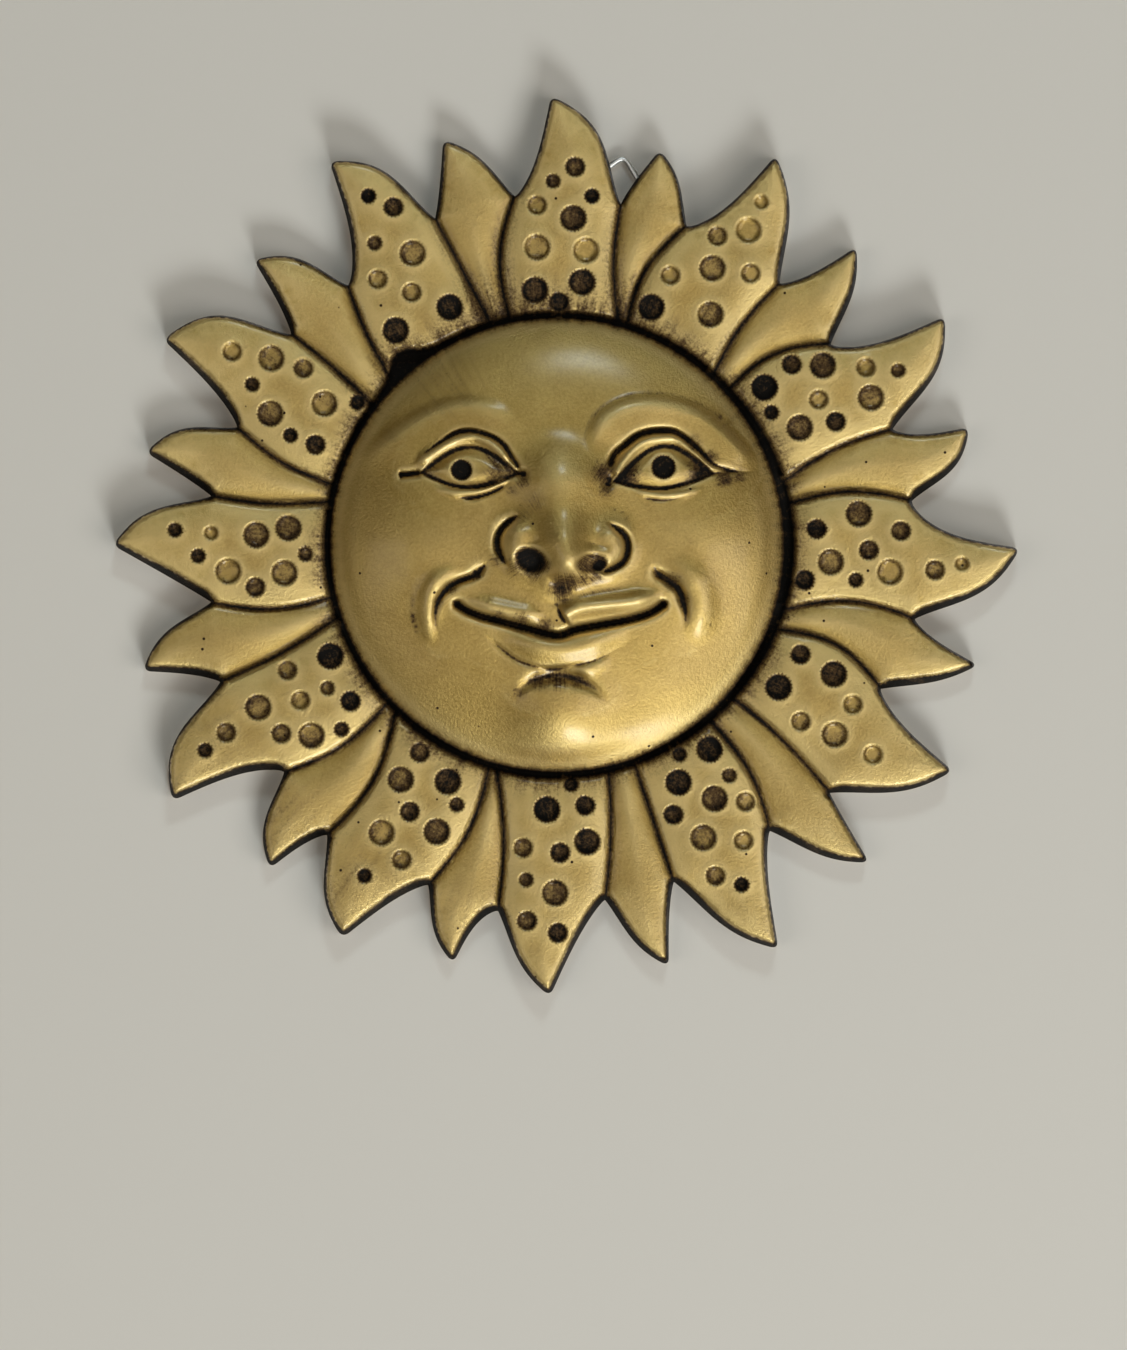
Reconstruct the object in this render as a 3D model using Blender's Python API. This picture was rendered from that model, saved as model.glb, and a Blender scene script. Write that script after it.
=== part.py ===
"""Sun face wall plaque: one casting with a smiling face and twenty-four rays, and its wire loop.

The plaque hangs flat against a wall. X runs to the right, Z up, and the front faces -Y. The
origin is the middle of the flat back. Plans are worked out in millimetres as x and z, with a
height that stands forward of the wall, and become metres only when a mesh is made.
"""
import math

import bmesh
import bpy
import numpy as np
from mathutils import Vector, geometry

for thing in list(bpy.data.objects):
    bpy.data.objects.remove(thing, do_unlink=True)

# Driving sizes, in millimetres
faceRadius = 35.9          # edge of the domed face
grooveWidth = 1.0          # dark channel between the face and the rays
dottedReach = 70.1         # centre of the face to the tip of a dotted ray
plainReach = 66.4          # the same for a plain ray
notchRadius = 55.2         # centre of the face to the notch between two rays
dottedCrown = 6.2          # height of a dotted ray above the wall
plainCrown = 4.9           # height of a plain ray
wallHeight = 4.3           # where the side wall of a dotted ray turns over into its front
plainWallHeight = 3.4      # the same for a plain ray
wallDraft = 0.7            # how far the side walls lean in
edgeRound = 2.0            # width of the turned-over edge
tipRound = 1.4             # how far back from a tip its corner is rounded
seamFloor = 3.7            # bottom of the valley between two rays
grooveFloor = 2.5          # bottom of the channel around the face
rimHeight = 5.6            # edge of the face above the wall
domeRise = 7.6             # middle of the face above its edge
largeDimple = 3.9          # widths of the three pressed dots
mediumDimple = 2.9
smallDimple = 2.15
dimpleDepth = 0.85
dimpleDraft = 0.22         # how much narrower a dot is at its floor, on each side
wireThickness = 0.9        # steel wire of the hanging loop
clearance = 0.3            # air between the wire and its channel
wireCorner = 1.3           # bend radius of the wire
loopRise = 7.5             # corner of the loop above the notch that shows it
loopAside = 0.4            # the same corner to the right of that notch
loopLeg = 11.4             # from that corner down behind the ray on its left
loopTail = 8.0             # how far the wire's ends run on towards the face
wireInset = 0.2            # how far the wire lies inside the plane of the back
leftSlope = math.radians(36)    # the loop's legs below the horizontal
rightSlope = math.radians(58)

# How finely the solid is faceted
sideSteps = 5
tipSteps = 2
seamSteps = 5
ringSteps = 96
faceGrid = 2.15
rayGrid = 4.2
dimpleSides = {largeDimple: 8, mediumDimple: 7, smallDimple: 6}

# The photograph's scale: the sun is 900 of its pixels across. The same sizes as above, counted in
# its pixels, say by what share the places below move when a driving size is changed.
pixelsPerMm = 6.4
sunPixel = (557, 545)
photoFaceRadius = 230 / pixelsPerMm
photoDottedReach = 449 / pixelsPerMm
photoPlainReach = 425 / pixelsPerMm
photoNotchRadius = 353 / pixelsPerMm
mm = 0.001

# Rays, clockwise from the top, as read off the photograph in pixels: the tip, the notch on its
# clockwise side, the foot of the seam that runs from that notch to the face, then how far the
# two sides and the seam stand off a straight line, in millimetres. Even rays are dotted.
rayRows = (
    ((551, 99), (621, 204), (621, 312), -1.1, 3.0, 0.9),
    ((659, 153), (687, 226), (628, 319), 0.3, 1.1, 1.8),
    ((774, 158), (780, 283), (724, 362), -1.5, 1.9, 0.9),
    ((854, 249), (831, 344), (736, 382), -0.8, 1.3, 2.0),
    ((942, 318), (893, 429), (790, 480), -1.5, 2.4, 1.1),
    ((966, 428), (912, 501), (793, 503), -0.9, 2.0, 1.6),
    ((1017, 548), (915, 619), (790, 612), -2.2, 2.3, 2.1),
    ((975, 664), (881, 689), (783, 632), -0.7, 0.9, 2.5),
    ((950, 769), (830, 793), (742, 706), -1.1, 1.7, 0.7),
    ((867, 860), (770, 831), (716, 728), -0.1, 1.2, 1.6),
    ((777, 946), (674, 882), (636, 768), -0.8, 1.6, 0.0),
    ((668, 963), (605, 900), (610, 778), -0.4, 1.2, 0.6),
    ((550, 993), (498, 911), (496, 772), -0.7, 1.3, 1.0),
    ((454, 960), (428, 885), (489, 768), -1.2, 1.3, 1.7),
    ((344, 935), (327, 835), (394, 713), -0.8, 1.8, 2.2),
    ((272, 866), (284, 772), (384, 706), -0.6, 1.9, 1.7),
    ((175, 799), (220, 682), (336, 618), -1.4, 3.1, 0.7),
    ((146, 670), (211, 602), (328, 598), -0.5, 1.7, 1.5),
    ((116, 545), (211, 496), (327, 501), -0.1, 2.1, 0.8),
    ((149, 453), (237, 427), (334, 485), -0.2, 2.0, 1.1),
    ((166, 341), (291, 334), (372, 404), -0.9, 3.4, -0.3),
    ((256, 262), (348, 285), (391, 378), -0.4, 2.0, 0.5),
    ((331, 164), (435, 218), (490, 322), -1.5, 2.7, 0.0),
    ((444, 143), (515, 196), (509, 316), -0.2, 1.3, 1.9),
)

# Pressed dots of each dotted ray, where the photograph shows them, in pixels
largeDots = {
    0: ((573, 219), (537, 248), (586, 251), (535, 291), (582, 283)),
    2: ((748, 231), (712, 269), (651, 308), (710, 315)),
    4: ((822, 366), (764, 388), (870, 398), (799, 428)),
    6: ((858, 514), (830, 562), (889, 572)),
    8: ((833, 674), (778, 687), (834, 734)),
    10: ((709, 749), (678, 782), (714, 798), (703, 837)),
    12: ((547, 809), (587, 841), (555, 892)),
    14: ((401, 779), (448, 781), (382, 832), (437, 831)),
    16: ((331, 656), (259, 707), (312, 735)),
    18: ((257, 535), (289, 528), (229, 571), (285, 573)),
    20: ((272, 359), (271, 414), (325, 404)),
    22: ((413, 254), (450, 308), (396, 331)),
}
mediumDots = {
    0: ((575, 168), (537, 206), (559, 303)),
    2: ((717, 237), (670, 276), (750, 274)),
    4: ((791, 365), (865, 368), (818, 400), (835, 422)),
    6: ((816, 529), (900, 531), (868, 550), (934, 570), (804, 580)),
    8: ((800, 654), (852, 704), (800, 721), (872, 754)),
    10: ((745, 801), (673, 814), (743, 840), (715, 875)),
    12: ((585, 805), (560, 852), (523, 847), (527, 920), (558, 932)),
    14: ((420, 752), (410, 811), (402, 859)),
    16: ((288, 670), (301, 700), (351, 701), (282, 733), (227, 732)),
    18: ((256, 587),),
    20: ((233, 352), (304, 369), (316, 445)),
    22: ((394, 208), (378, 280), (412, 293)),
}
smallDots = {
    0: ((553, 182), (592, 197)),
    2: ((761, 203),),
    4: ((897, 371), (771, 413)),
    6: ((961, 564), (855, 580)),
    8: (),
    10: ((679, 754), (729, 775), (741, 884)),
    12: ((571, 784), (526, 879)),
    14: ((457, 804), (365, 875)),
    16: ((328, 688), (342, 729), (206, 750)),
    18: ((176, 530), (212, 533), (199, 556), (306, 554)),
    20: ((253, 385), (358, 403), (291, 436)),
    22: ((369, 197), (375, 244)),
}

# Lines of the face, in the photograph's pixels, each with its reach and its rise in millimetres
browLines = (
    (((376, 470), (410, 444), (444, 423), (472, 416), (500, 423), (522, 442)), 2.8, 1.1),
    (((597, 462), (604, 438), (622, 421), (648, 413), (680, 417), (710, 433), (738, 454), (757, 467)),
     2.6, 1.2),
)
eyeRows = (
    dict(outer=(419, 474), inner=(521, 475), upper=4.2, lower=-2.3, pupil=(462, 471), iris=3.4),
    dict(outer=(713, 475), inner=(612, 482), upper=5.1, lower=-1.9, pupil=(663, 468), iris=3.7),
)
lidBand = 1.5
lidRise = 0.9
socketDepth = 1.1
noseLines = (
    (((560, 430), (560, 480), (562, 520), (564, 548)), 5.0, 2.6),
    (((563, 545), (567, 560)), 4.6, 2.2),
    (((519, 540), (524, 556)), 2.8, 1.9),
    (((609, 544), (603, 560)), 2.8, 1.9),
)
noseGrooves = (
    (((522, 514), (506, 525), (498, 543), (501, 557), (511, 568)), 1.1, -1.3),
    (((605, 522), (621, 533), (627, 548), (621, 564), (598, 573)), 1.1, -1.3),
)
nostrils = (((530, 562), 2.0, -2.2), ((595, 566), 2.2, -2.2), ((562, 587), 1.5, -1.0))
cheekBalls = (((410, 552), 11.0, 1.6), ((712, 552), 11.0, 1.6), ((560, 722), 9.0, 2.2))
mouthSlit = ((455, 601), (480, 616), (524, 628), (556, 635), (590, 627), (637, 617), (668, 600))
upperLip = ((486, 608), (526, 616), (557, 622), (590, 614), (634, 606))
lowerLip = ((492, 630), (520, 643), (556, 651), (590, 645), (632, 628))
mouthGrooves = (
    (mouthSlit, 0.75, -2.3),
    (((516, 704), (526, 684), (548, 674), (568, 675), (592, 686), (607, 704)), 1.3, -1.5),
    (((487, 562), (459, 580), (440, 600), (436, 618), (441, 644)), 1.2, -1.1),
    (((652, 567), (676, 588), (685, 612), (682, 634)), 1.2, -1.1),
)
lips = ((upperLip, 1.5, 1.5), (lowerLip, 2.1, 1.9))


def spot(pixel):
    """A pixel of the photograph as x and z in millimetres from the middle of the sun."""
    return np.array([(pixel[0] - sunPixel[0]) / pixelsPerMm, (sunPixel[1] - pixel[1]) / pixelsPerMm])


def polar(place):
    """Heading, clockwise from the top in radians, and distance from the middle."""
    return math.atan2(place[0], place[1]), math.hypot(place[0], place[1])


def onHeading(heading, radius):
    return np.array([radius * math.sin(heading), radius * math.cos(heading)])


def smoothLine(points, steps):
    """A Catmull-Rom curve through the points, with steps stretches between each two."""
    points = np.asarray(points, dtype=float)
    padded = np.vstack([2 * points[0] - points[1], points, 2 * points[-1] - points[-2]])
    t = np.arange(steps)[:, None] / steps
    parts = []
    for a, b, c, d in zip(padded[:-3], padded[1:-2], padded[2:-1], padded[3:]):
        parts.append(0.5 * (2 * b + (c - a) * t + (2 * a - 5 * b + 4 * c - d) * t ** 2
                            + (3 * b - a - 3 * c + d) * t ** 3))
    return np.vstack(parts + [points[-1:]])


def bowed(start, end, bow, lean, t):
    """Points from start to end, standing off to the left by bow times sin(pi t ** lean)."""
    along = end - start
    aside = np.array([-along[1], along[0]]) / np.hypot(*along)
    t = np.asarray(t)[:, None]
    return start + along * t + aside * bow * np.sin(math.pi * t ** lean)


def layOutRays():
    """Each ray's tip, notch and foot of seam, taken from the photograph's headings and shares."""
    rays = []
    grown = notchRadius / photoNotchRadius
    for index, (tip, notch, foot, hollow, belly, seamBow) in enumerate(rayRows):
        longer = dottedReach / photoDottedReach if index % 2 == 0 else plainReach / photoPlainReach
        tipHeading, tipRadius = polar(spot(tip))
        notchHeading, notchAway = polar(spot(notch))
        footHeading, footAway = polar(spot(foot))
        rays.append(dict(
            photoReach=tipRadius, reach=tipRadius * longer,
            hollow=hollow * grown, belly=belly * grown, seamBow=seamBow * grown,
            tip=onHeading(tipHeading, tipRadius * longer + 0.4 * tipRound),
            notch=onHeading(notchHeading, notchAway * grown),
            foot=onHeading(footHeading, grooveOuter(footHeading))))
    return rays


def grooveOuter(heading):
    """Outer edge of the channel around the face; it is wider at the sides and at upper left."""
    widePlace = math.radians(-40)
    away = np.angle(np.exp(1j * (heading - widePlace)))
    sides = 0.35 * np.sin(heading) ** 2
    return faceRadius + grooveWidth * (0.75 + sides + 2.4 * np.exp(-(away / 0.085) ** 2))


def raySide(start, tip, bow, lean, steps):
    """One side of a ray up to where the rounding of its tip begins."""
    cut = 1 - tipRound / np.hypot(*(tip - start))
    return bowed(start, tip, bow, lean, np.linspace(0, cut, steps + 1))


def layOutOutline(rays, sideCount, tipCount):
    """Closed outline, clockwise: up the hollow side of each ray, round its tip, down its belly."""
    pieces = []
    for index, ray in enumerate(rays):
        up = raySide(rays[index - 1]['notch'], ray['tip'], ray['hollow'], 0.7, sideCount)
        down = raySide(ray['notch'], ray['tip'], -ray['belly'], 1.3, sideCount)
        t = np.linspace(0, 1, tipCount + 2)[1:-1, None]
        cap = (1 - t) ** 2 * up[-1] + 2 * t * (1 - t) * ray['tip'] + t ** 2 * down[-1]
        pieces += [up, cap, down[:0:-1]]
    return np.vstack(pieces)


def distanceTo(line, x, z):
    """Shortest distance from each place to a line of points."""
    best = np.full(np.shape(x), 1e9)
    for (ax, az), (bx, bz) in zip(line[:-1], line[1:]):
        length = max((bx - ax) ** 2 + (bz - az) ** 2, 1e-12)
        t = np.clip(((x - ax) * (bx - ax) + (z - az) * (bz - az)) / length, 0, 1)
        best = np.minimum(best, (x - ax - t * (bx - ax)) ** 2 + (z - az - t * (bz - az)) ** 2)
    return np.sqrt(best)


def insideOf(loop, x, z):
    """True where a place lies inside a closed loop, by counting the sides it sees to the right."""
    inside = np.zeros(np.shape(x), dtype=bool)
    for (ax, az), (bx, bz) in zip(loop, np.roll(loop, -1, axis=0)):
        if az != bz:
            crossing = (az > z) != (bz > z)
            inside ^= crossing & (x < (bx - ax) * (z - az) / (bz - az) + ax)
    return inside


def turnedEdge(distance, low, high, width):
    """A quarter round: low at distance 0, high from width on."""
    share = 1 - np.clip(distance / width, 0, 1)
    return low + (high - low) * np.sqrt(1 - share ** 2)


def soft(distance, reach):
    return np.exp(-(distance / reach) ** 2)


def faceRelief(x, z):
    """Forms of the face above its dome: brows, eyes, nose, lips, cheeks and their grooves."""
    size = faceRadius / photoFaceRadius
    x, z = x / size, z / size
    relief = np.zeros(np.shape(x))
    for points, reach, rise in browLines + noseLines + lips + mouthGrooves + noseGrooves:
        line = smoothLine([spot(point) for point in points], 5)
        relief = relief + rise * soft(distanceTo(line, x, z), reach)
    for centre, reach, rise in nostrils + cheekBalls:
        relief = relief + rise * soft(np.hypot(x - spot(centre)[0], z - spot(centre)[1]), reach)
    for eye in eyeRows:
        outer, inner, pupil = spot(eye['outer']), spot(eye['inner']), spot(eye['pupil'])
        t = np.clip((x - outer[0]) / (inner[0] - outer[0]), 0, 1)
        level = z - outer[1] - (inner[1] - outer[1]) * t
        arch = np.sin(math.pi * t)
        opening = np.minimum(eye['upper'] * arch - level, level - eye['lower'] * arch)
        past = np.minimum(x - min(outer[0], inner[0]), max(outer[0], inner[0]) - x)
        opening = np.minimum(opening, past)
        band = lidBand / size
        lid = lidRise / size * soft(opening + 0.5 * band, 0.6 * band)
        ball = socketDepth / size * np.clip(opening / 0.5, 0, 1)
        bulge = 0.9 * np.clip(opening / 2.4, 0, 1)
        iris = 0.6 * soft(np.hypot(x - pupil[0], z - pupil[1]), 0.42 * eye['iris'])
        relief = relief + lid - ball + bulge - iris
    return relief * size


def dimpleTable(rays):
    """Every pressed dot as x, z, width and height of its floor."""
    table = []
    for dots, width in ((largeDots, largeDimple), (mediumDots, mediumDimple),
                        (smallDots, smallDimple)):
        for index, places in dots.items():
            ray = rays[index]
            for place in places:
                heading, away = polar(spot(place))
                share = (away - photoFaceRadius) / (ray['photoReach'] - photoFaceRadius)
                x, z = onHeading(heading, faceRadius + share * (ray['reach'] - faceRadius))
                table.append((x, z, width))
    return np.array(table)


class Sun:
    """The plan of the sun and the height of its front above the wall at any place."""

    def __init__(self, sideCount, tipCount, seamCount):
        self.rays = layOutRays()
        self.outline = layOutOutline(self.rays, sideCount, tipCount)
        t = np.linspace(0, 1, seamCount + 1)
        self.seams = [bowed(ray['foot'], ray['notch'], ray['seamBow'], 1, t) for ray in self.rays]
        self.dimples = dimpleTable(self.rays)

    def plainShare(self, x, z):
        """1 on the plain rays and 0 on the dotted ones."""
        plain = np.zeros(np.shape(x), dtype=bool)
        perRay = len(self.outline) // len(self.rays)
        for index in range(1, len(self.rays), 2):
            side = self.outline[index * perRay:(index + 1) * perRay]
            end = [self.rays[index]['notch']]
            loop = np.vstack([self.seams[index - 1], side, end, self.seams[index][::-1]])
            plain |= insideOf(loop, x, z)
        return plain

    def rayHeight(self, x, z):
        """Height of the rays, the lowest of what the edge, the seams and the channel leave."""
        plain = self.plainShare(x, z)
        crown = np.where(plain, plainCrown, dottedCrown)
        shoulder = np.where(plain, plainWallHeight, wallHeight)
        free = distanceTo(np.vstack([self.outline, self.outline[:1]]), x, z)
        seam = np.min([distanceTo(line, x, z) for line in self.seams], axis=0)
        heading, away = np.arctan2(x, z), np.hypot(x, z)
        root = away - grooveOuter(heading)
        edge = np.where(free < wallDraft, shoulder * free / wallDraft,
                        turnedEdge(free - wallDraft, shoulder, crown, edgeRound))
        seamWidth = np.where(plain, 1.6 * edgeRound, edgeRound)
        valley = turnedEdge(seam, seamFloor, crown, seamWidth)
        start = turnedEdge(np.maximum(root, 0), grooveFloor, crown, edgeRound)
        return np.minimum(np.minimum(edge, valley), start)

    def faceHeight(self, x, z):
        """Height of the face: a dome that falls off at its rim, with the forms on it."""
        away = np.hypot(x, z)
        inward = faceRadius - away
        share = np.clip(away / faceRadius, 0, 1)
        dome = rimHeight + domeRise * (1 - share ** 2.3) ** 0.7
        fade = np.clip(inward / (0.12 * faceRadius), 0, 1)
        dome = dome + faceRelief(x, z) * fade
        lip = 0.35 * grooveWidth
        return np.where(inward < lip, grooveFloor + (rimHeight - grooveFloor) * inward / lip, dome)

    def height(self, x, z):
        away = np.hypot(x, z)
        outside = away >= grooveOuter(np.arctan2(x, z)) - 1e-4
        result = np.full(np.shape(x), grooveFloor)
        result[outside] = self.rayHeight(x[outside], z[outside])
        onFace = away < faceRadius
        result[onFace] = self.faceHeight(x[onFace], z[onFace])
        for dx, dz, width in self.dimples:
            off = np.hypot(x - dx, z - dz)
            near = off < width / 2
            if near.any():
                middle = self.rayHeight(np.array([dx]), np.array([dz]))[0]
                floorShare = np.clip((width / 2 - off[near]) / dimpleDraft, 0, 1)
                pressed = result[near] + floorShare * (middle - dimpleDepth - result[near])
                result[near] = np.minimum(result[near], pressed)
        return result


def circle(x, z, radius, count):
    angle = 2 * math.pi * np.arange(count) / count
    return np.column_stack([x + radius * np.sin(angle), z + radius * np.cos(angle)])


def hexGrid(reach, pitch):
    """Places of a triangular grid that covers a square of twice the reach."""
    rows = np.arange(-reach, reach, pitch * math.sqrt(0.75))
    columns = np.arange(-reach, reach, pitch)
    x, z = np.meshgrid(columns, rows)
    x = x + (np.arange(len(rows)) % 2)[:, None] * pitch / 2
    return np.column_stack([x.ravel(), z.ravel()])


def inset(line, distance, closed):
    """The line moved to its right by a distance."""
    ahead = np.roll(line, -1, axis=0) if closed else np.vstack([line[1:], 2 * line[-1] - line[-2]])
    behind = np.roll(line, 1, axis=0) if closed else np.vstack([2 * line[0] - line[1], line[:-1]])
    along = ahead - behind
    aside = np.column_stack([along[:, 1], -along[:, 0]])
    return line + distance * aside / np.hypot(aside[:, 0], aside[:, 1])[:, None]


def keepApart(points, others, gap):
    """The points that stay at least a gap away from all the others."""
    far = np.ones(len(points), dtype=bool)
    for ox, oz in others:
        far &= np.hypot(points[:, 0] - ox, points[:, 1] - oz) > gap
    return points[far]


def facePoints():
    """Places along the lines of the face, on both sides of its grooves and around its eyes."""
    rows = []
    for points, reach, rise in mouthGrooves + noseGrooves:
        line = smoothLine([spot(point) for point in points], 2)
        rows += [line] + [inset(line, side * 1.3 * reach, False)[1:-1] for side in (-1, 1)]
    t = np.linspace(0, 1, 10)
    for eye in eyeRows:
        outer, inner = spot(eye['outer']), spot(eye['inner'])
        for bend in (eye['upper'], eye['lower']):
            line = outer + (inner - outer) * t[:, None]
            line[:, 1] += bend * np.sin(math.pi * t)
            outward = line + np.array([0, math.copysign(0.5 * lidBand, bend)])
            rows += [line, outward[1:-1]]
    for centre, reach, rise in nostrils:
        rows += [circle(*spot(centre), 0.9 * reach, 6), [spot(centre)]]
    kept = np.empty((0, 2))
    for row in rows:
        kept = np.vstack([kept, keepApart(np.asarray(row), kept, 0.45)])
    return kept * faceRadius / photoFaceRadius


def planPoints(sun):
    """Where the front has its corners: rings along the edges, dots, the face and a loose grid."""
    outline = sun.outline
    closed = np.vstack([outline, outline[:1]])
    rings = []
    for depth in (wallDraft, wallDraft + 0.9 * edgeRound):
        ring = inset(outline, depth, True)
        away = distanceTo(closed, ring[:, 0], ring[:, 1])
        rootWay = np.hypot(ring[:, 0], ring[:, 1])
        rings.append(ring[(away > 0.93 * depth) & (rootWay > faceRadius)])
    seamRows = [line[:-1] for line in sun.seams]
    for line in sun.seams:
        for offset in (-edgeRound, edgeRound):
            seamRows.append(inset(line, offset, False)[1:-1])
    rings.append(keepApart(np.vstack(seamRows), np.vstack(rings), 0.5))
    headings = 2 * math.pi * np.arange(ringSteps) / ringSteps
    for radius in (grooveOuter(headings), grooveOuter(headings) + 0.8 * edgeRound):
        ring = np.column_stack([radius * np.sin(headings), radius * np.cos(headings)])
        rings.append(keepApart(ring, rings[2], 0.45))
    rings.append(circle(0, 0, faceRadius, ringSteps))
    rings.append(circle(0, 0, faceRadius - 0.35 * grooveWidth, ringSteps))
    edges = np.vstack(rings)
    x, z = edges[:, 0], edges[:, 1]
    clear = np.ones(len(edges), dtype=bool)
    dots = []
    for dx, dz, width in sun.dimples:
        clear &= np.hypot(x - dx, z - dz) > width / 2 + 0.25
        sides = dimpleSides[width]
        dots += [circle(dx, dz, width / 2, sides), circle(dx, dz, width / 2 - dimpleDraft, sides)]
    dots = np.vstack(dots)
    edges = np.vstack([edges[clear], dots])
    face = hexGrid(faceRadius, faceGrid)
    face = face[np.hypot(face[:, 0], face[:, 1]) < faceRadius - 0.35 * grooveWidth - 0.4 * faceGrid]
    lines = facePoints()
    face = np.vstack([lines, keepApart(face, lines, 0.5 * faceGrid)])
    fill = hexGrid(1.1 * dottedReach, rayGrid)
    fill = fill[np.hypot(fill[:, 0], fill[:, 1]) > faceRadius + 2 * grooveWidth]
    free = distanceTo(closed, fill[:, 0], fill[:, 1])
    fill = fill[insideOf(outline, fill[:, 0], fill[:, 1]) & (free > wallDraft + 1.4 * edgeRound)]
    fill = keepApart(fill, edges, 0.45 * rayGrid)
    return np.vstack([edges, face, fill])


def triangles(outline, inner):
    """Delaunay triangles inside the outline; the outline's own points come first."""
    places = [Vector(place) for place in np.vstack([outline, inner])]
    loop = list(range(len(outline)))
    found = geometry.delaunay_2d_cdt(places, [], [loop], 1, 1e-5)
    return np.array([tuple(place) for place in found[0]]), [tuple(face) for face in found[2]]


def flatMiddles(places, faces, count):
    """Middles of the edges that cross the plan from outline to outline and would touch the back."""
    crossing = set()
    for face in faces:
        for a, b in zip(face, face[1:] + face[:1]):
            if max(a, b) < count and abs(a - b) not in (1, count - 1):
                crossing.add((min(a, b), max(a, b)))
    return [places[list(edge)].mean(axis=0) for edge in sorted(crossing)]


def makeSun():
    """The casting: its front is a height over the plan, and its back is the flat outline."""
    sun = Sun(sideSteps, tipSteps, seamSteps)
    inner = planPoints(sun)
    front, frontFaces = triangles(sun.outline, inner)
    middles = flatMiddles(front, frontFaces, len(sun.outline))
    while middles:
        inner = np.vstack([inner, middles])
        front, frontFaces = triangles(sun.outline, inner)
        middles = flatMiddles(front, frontFaces, len(sun.outline))
    high = sun.height(front[:, 0], front[:, 1])
    high[distanceTo(np.vstack([sun.outline, sun.outline[:1]]), front[:, 0], front[:, 1]) < 1e-3] = 0
    back, backFaces = triangles(sun.outline, np.empty((0, 2)))
    corners = [(x * mm, -h * mm, z * mm) for (x, z), h in zip(front, high)]
    corners += [(x * mm, 0.0, z * mm) for x, z in back]
    faces = frontFaces + [tuple(i + len(front) for i in reversed(face)) for face in backFaces]
    return sun, closedMesh('sun_plaque', corners, faces)


def closedMesh(name, corners, faces):
    """An object from corners and faces, with doubled corners joined and its faces turned out."""
    form = bmesh.new()
    spots = [form.verts.new(corner) for corner in corners]
    for face in faces:
        form.faces.new([spots[i] for i in face])
    bmesh.ops.remove_doubles(form, verts=form.verts, dist=0.001 * mm)
    bmesh.ops.recalc_face_normals(form, faces=form.faces)
    mesh = bpy.data.meshes.new(name)
    form.to_mesh(mesh)
    form.free()
    thing = bpy.data.objects.new(name, mesh)
    bpy.context.collection.objects.link(thing)
    return thing


def roundCorners(points, radius, steps):
    """The line of points with an arc-like curve of about the radius at each inner corner."""
    line = [points[0]]
    for before, corner, after in zip(points[:-2], points[1:-1], points[2:]):
        start = corner + radius * (before - corner) / np.hypot(*(before - corner))
        end = corner + radius * (after - corner) / np.hypot(*(after - corner))
        t = np.linspace(0, 1, steps + 1)[:, None]
        line += list((1 - t) ** 2 * start + 2 * t * (1 - t) * corner + t ** 2 * end)
    return np.array(line + [points[-1]])


def wireLine(sun):
    """The wire's middle: a corner that shows in the notch and two tails behind the rays."""
    notch = sun.rays[0]['notch']
    corner = notch + np.array([loopAside, loopRise])
    left = corner + loopLeg * np.array([-math.cos(leftSlope), -math.sin(leftSlope)])
    right = corner + 0.78 * loopLeg * np.array([math.cos(rightSlope), -math.sin(rightSlope)])
    leftEnd = left + np.array([0.35, -1.0]) * loopTail
    rightEnd = right + np.array([-0.3, -1.0]) * loopTail
    return roundCorners([leftEnd, left, corner, right, rightEnd], wireCorner, 4)


def makeWire(line):
    """Steel wire bent to the line, lying just inside the plane of the back."""
    curve = bpy.data.curves.new('hanging_loop', 'CURVE')
    curve.dimensions = '3D'
    curve.bevel_depth = wireThickness / 2 * mm
    curve.bevel_resolution = 2
    curve.use_fill_caps = True
    spline = curve.splines.new('POLY')
    spline.points.add(len(line) - 1)
    level = -(wireInset + wireThickness / 2) * mm
    for point, (x, z) in zip(spline.points, line):
        point.co = (x * mm, level, z * mm, 1)
    thing = bpy.data.objects.new('hanging_loop', curve)
    bpy.context.collection.objects.link(thing)
    return thing


def makeChannel(line):
    """Cutter for the channel that the wire lies in, open to the back."""
    half = wireThickness / 2 + clearance
    stretched = line.copy()
    for end, inner in ((0, 1), (-1, -2)):
        along = line[end] - line[inner]
        stretched[end] = line[end] + along / np.hypot(*along) * clearance
    loop = np.vstack([inset(stretched, -half, False), inset(stretched, half, False)[::-1]])
    depth = wireInset + wireThickness + clearance
    count = len(loop)
    corners = [(x * mm, y * mm, z * mm) for y in (-depth, depth) for x, z in loop]
    faces = [tuple(range(count)), tuple(range(2 * count - 1, count - 1, -1))]
    faces += [(i, (i + 1) % count, (i + 1) % count + count, i + count) for i in range(count)]
    cutter = closedMesh('loop_channel', corners, faces)
    cutter.hide_render = True
    cutter.display_type = 'WIRE'
    return cutter


def finish(name, colour, roughness, metallic):
    """A plain material with the colour that the photograph shows."""
    material = bpy.data.materials.new(name)
    material.use_nodes = True
    shader = material.node_tree.nodes['Principled BSDF']
    shader.inputs['Base Color'].default_value = (*colour, 1)
    shader.inputs['Roughness'].default_value = roughness
    shader.inputs['Metallic'].default_value = metallic
    return material


sun, plaque = makeSun()
line = wireLine(sun)
wire = makeWire(line)
channel = makeChannel(line)
cut = plaque.modifiers.new('loop channel', 'BOOLEAN')
cut.operation = 'DIFFERENCE'
cut.solver = 'EXACT'
cut.object = channel
plaque.data.materials.append(finish('antique gold', (0.37, 0.26, 0.08), 0.42, 0.6))
wire.data.materials.append(finish('steel', (0.55, 0.55, 0.53), 0.3, 1.0))
for thing in (plaque, wire):
    print(thing.name, 'made')
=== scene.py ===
import math

import bpy
import numpy as np
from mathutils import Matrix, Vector, geometry


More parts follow.
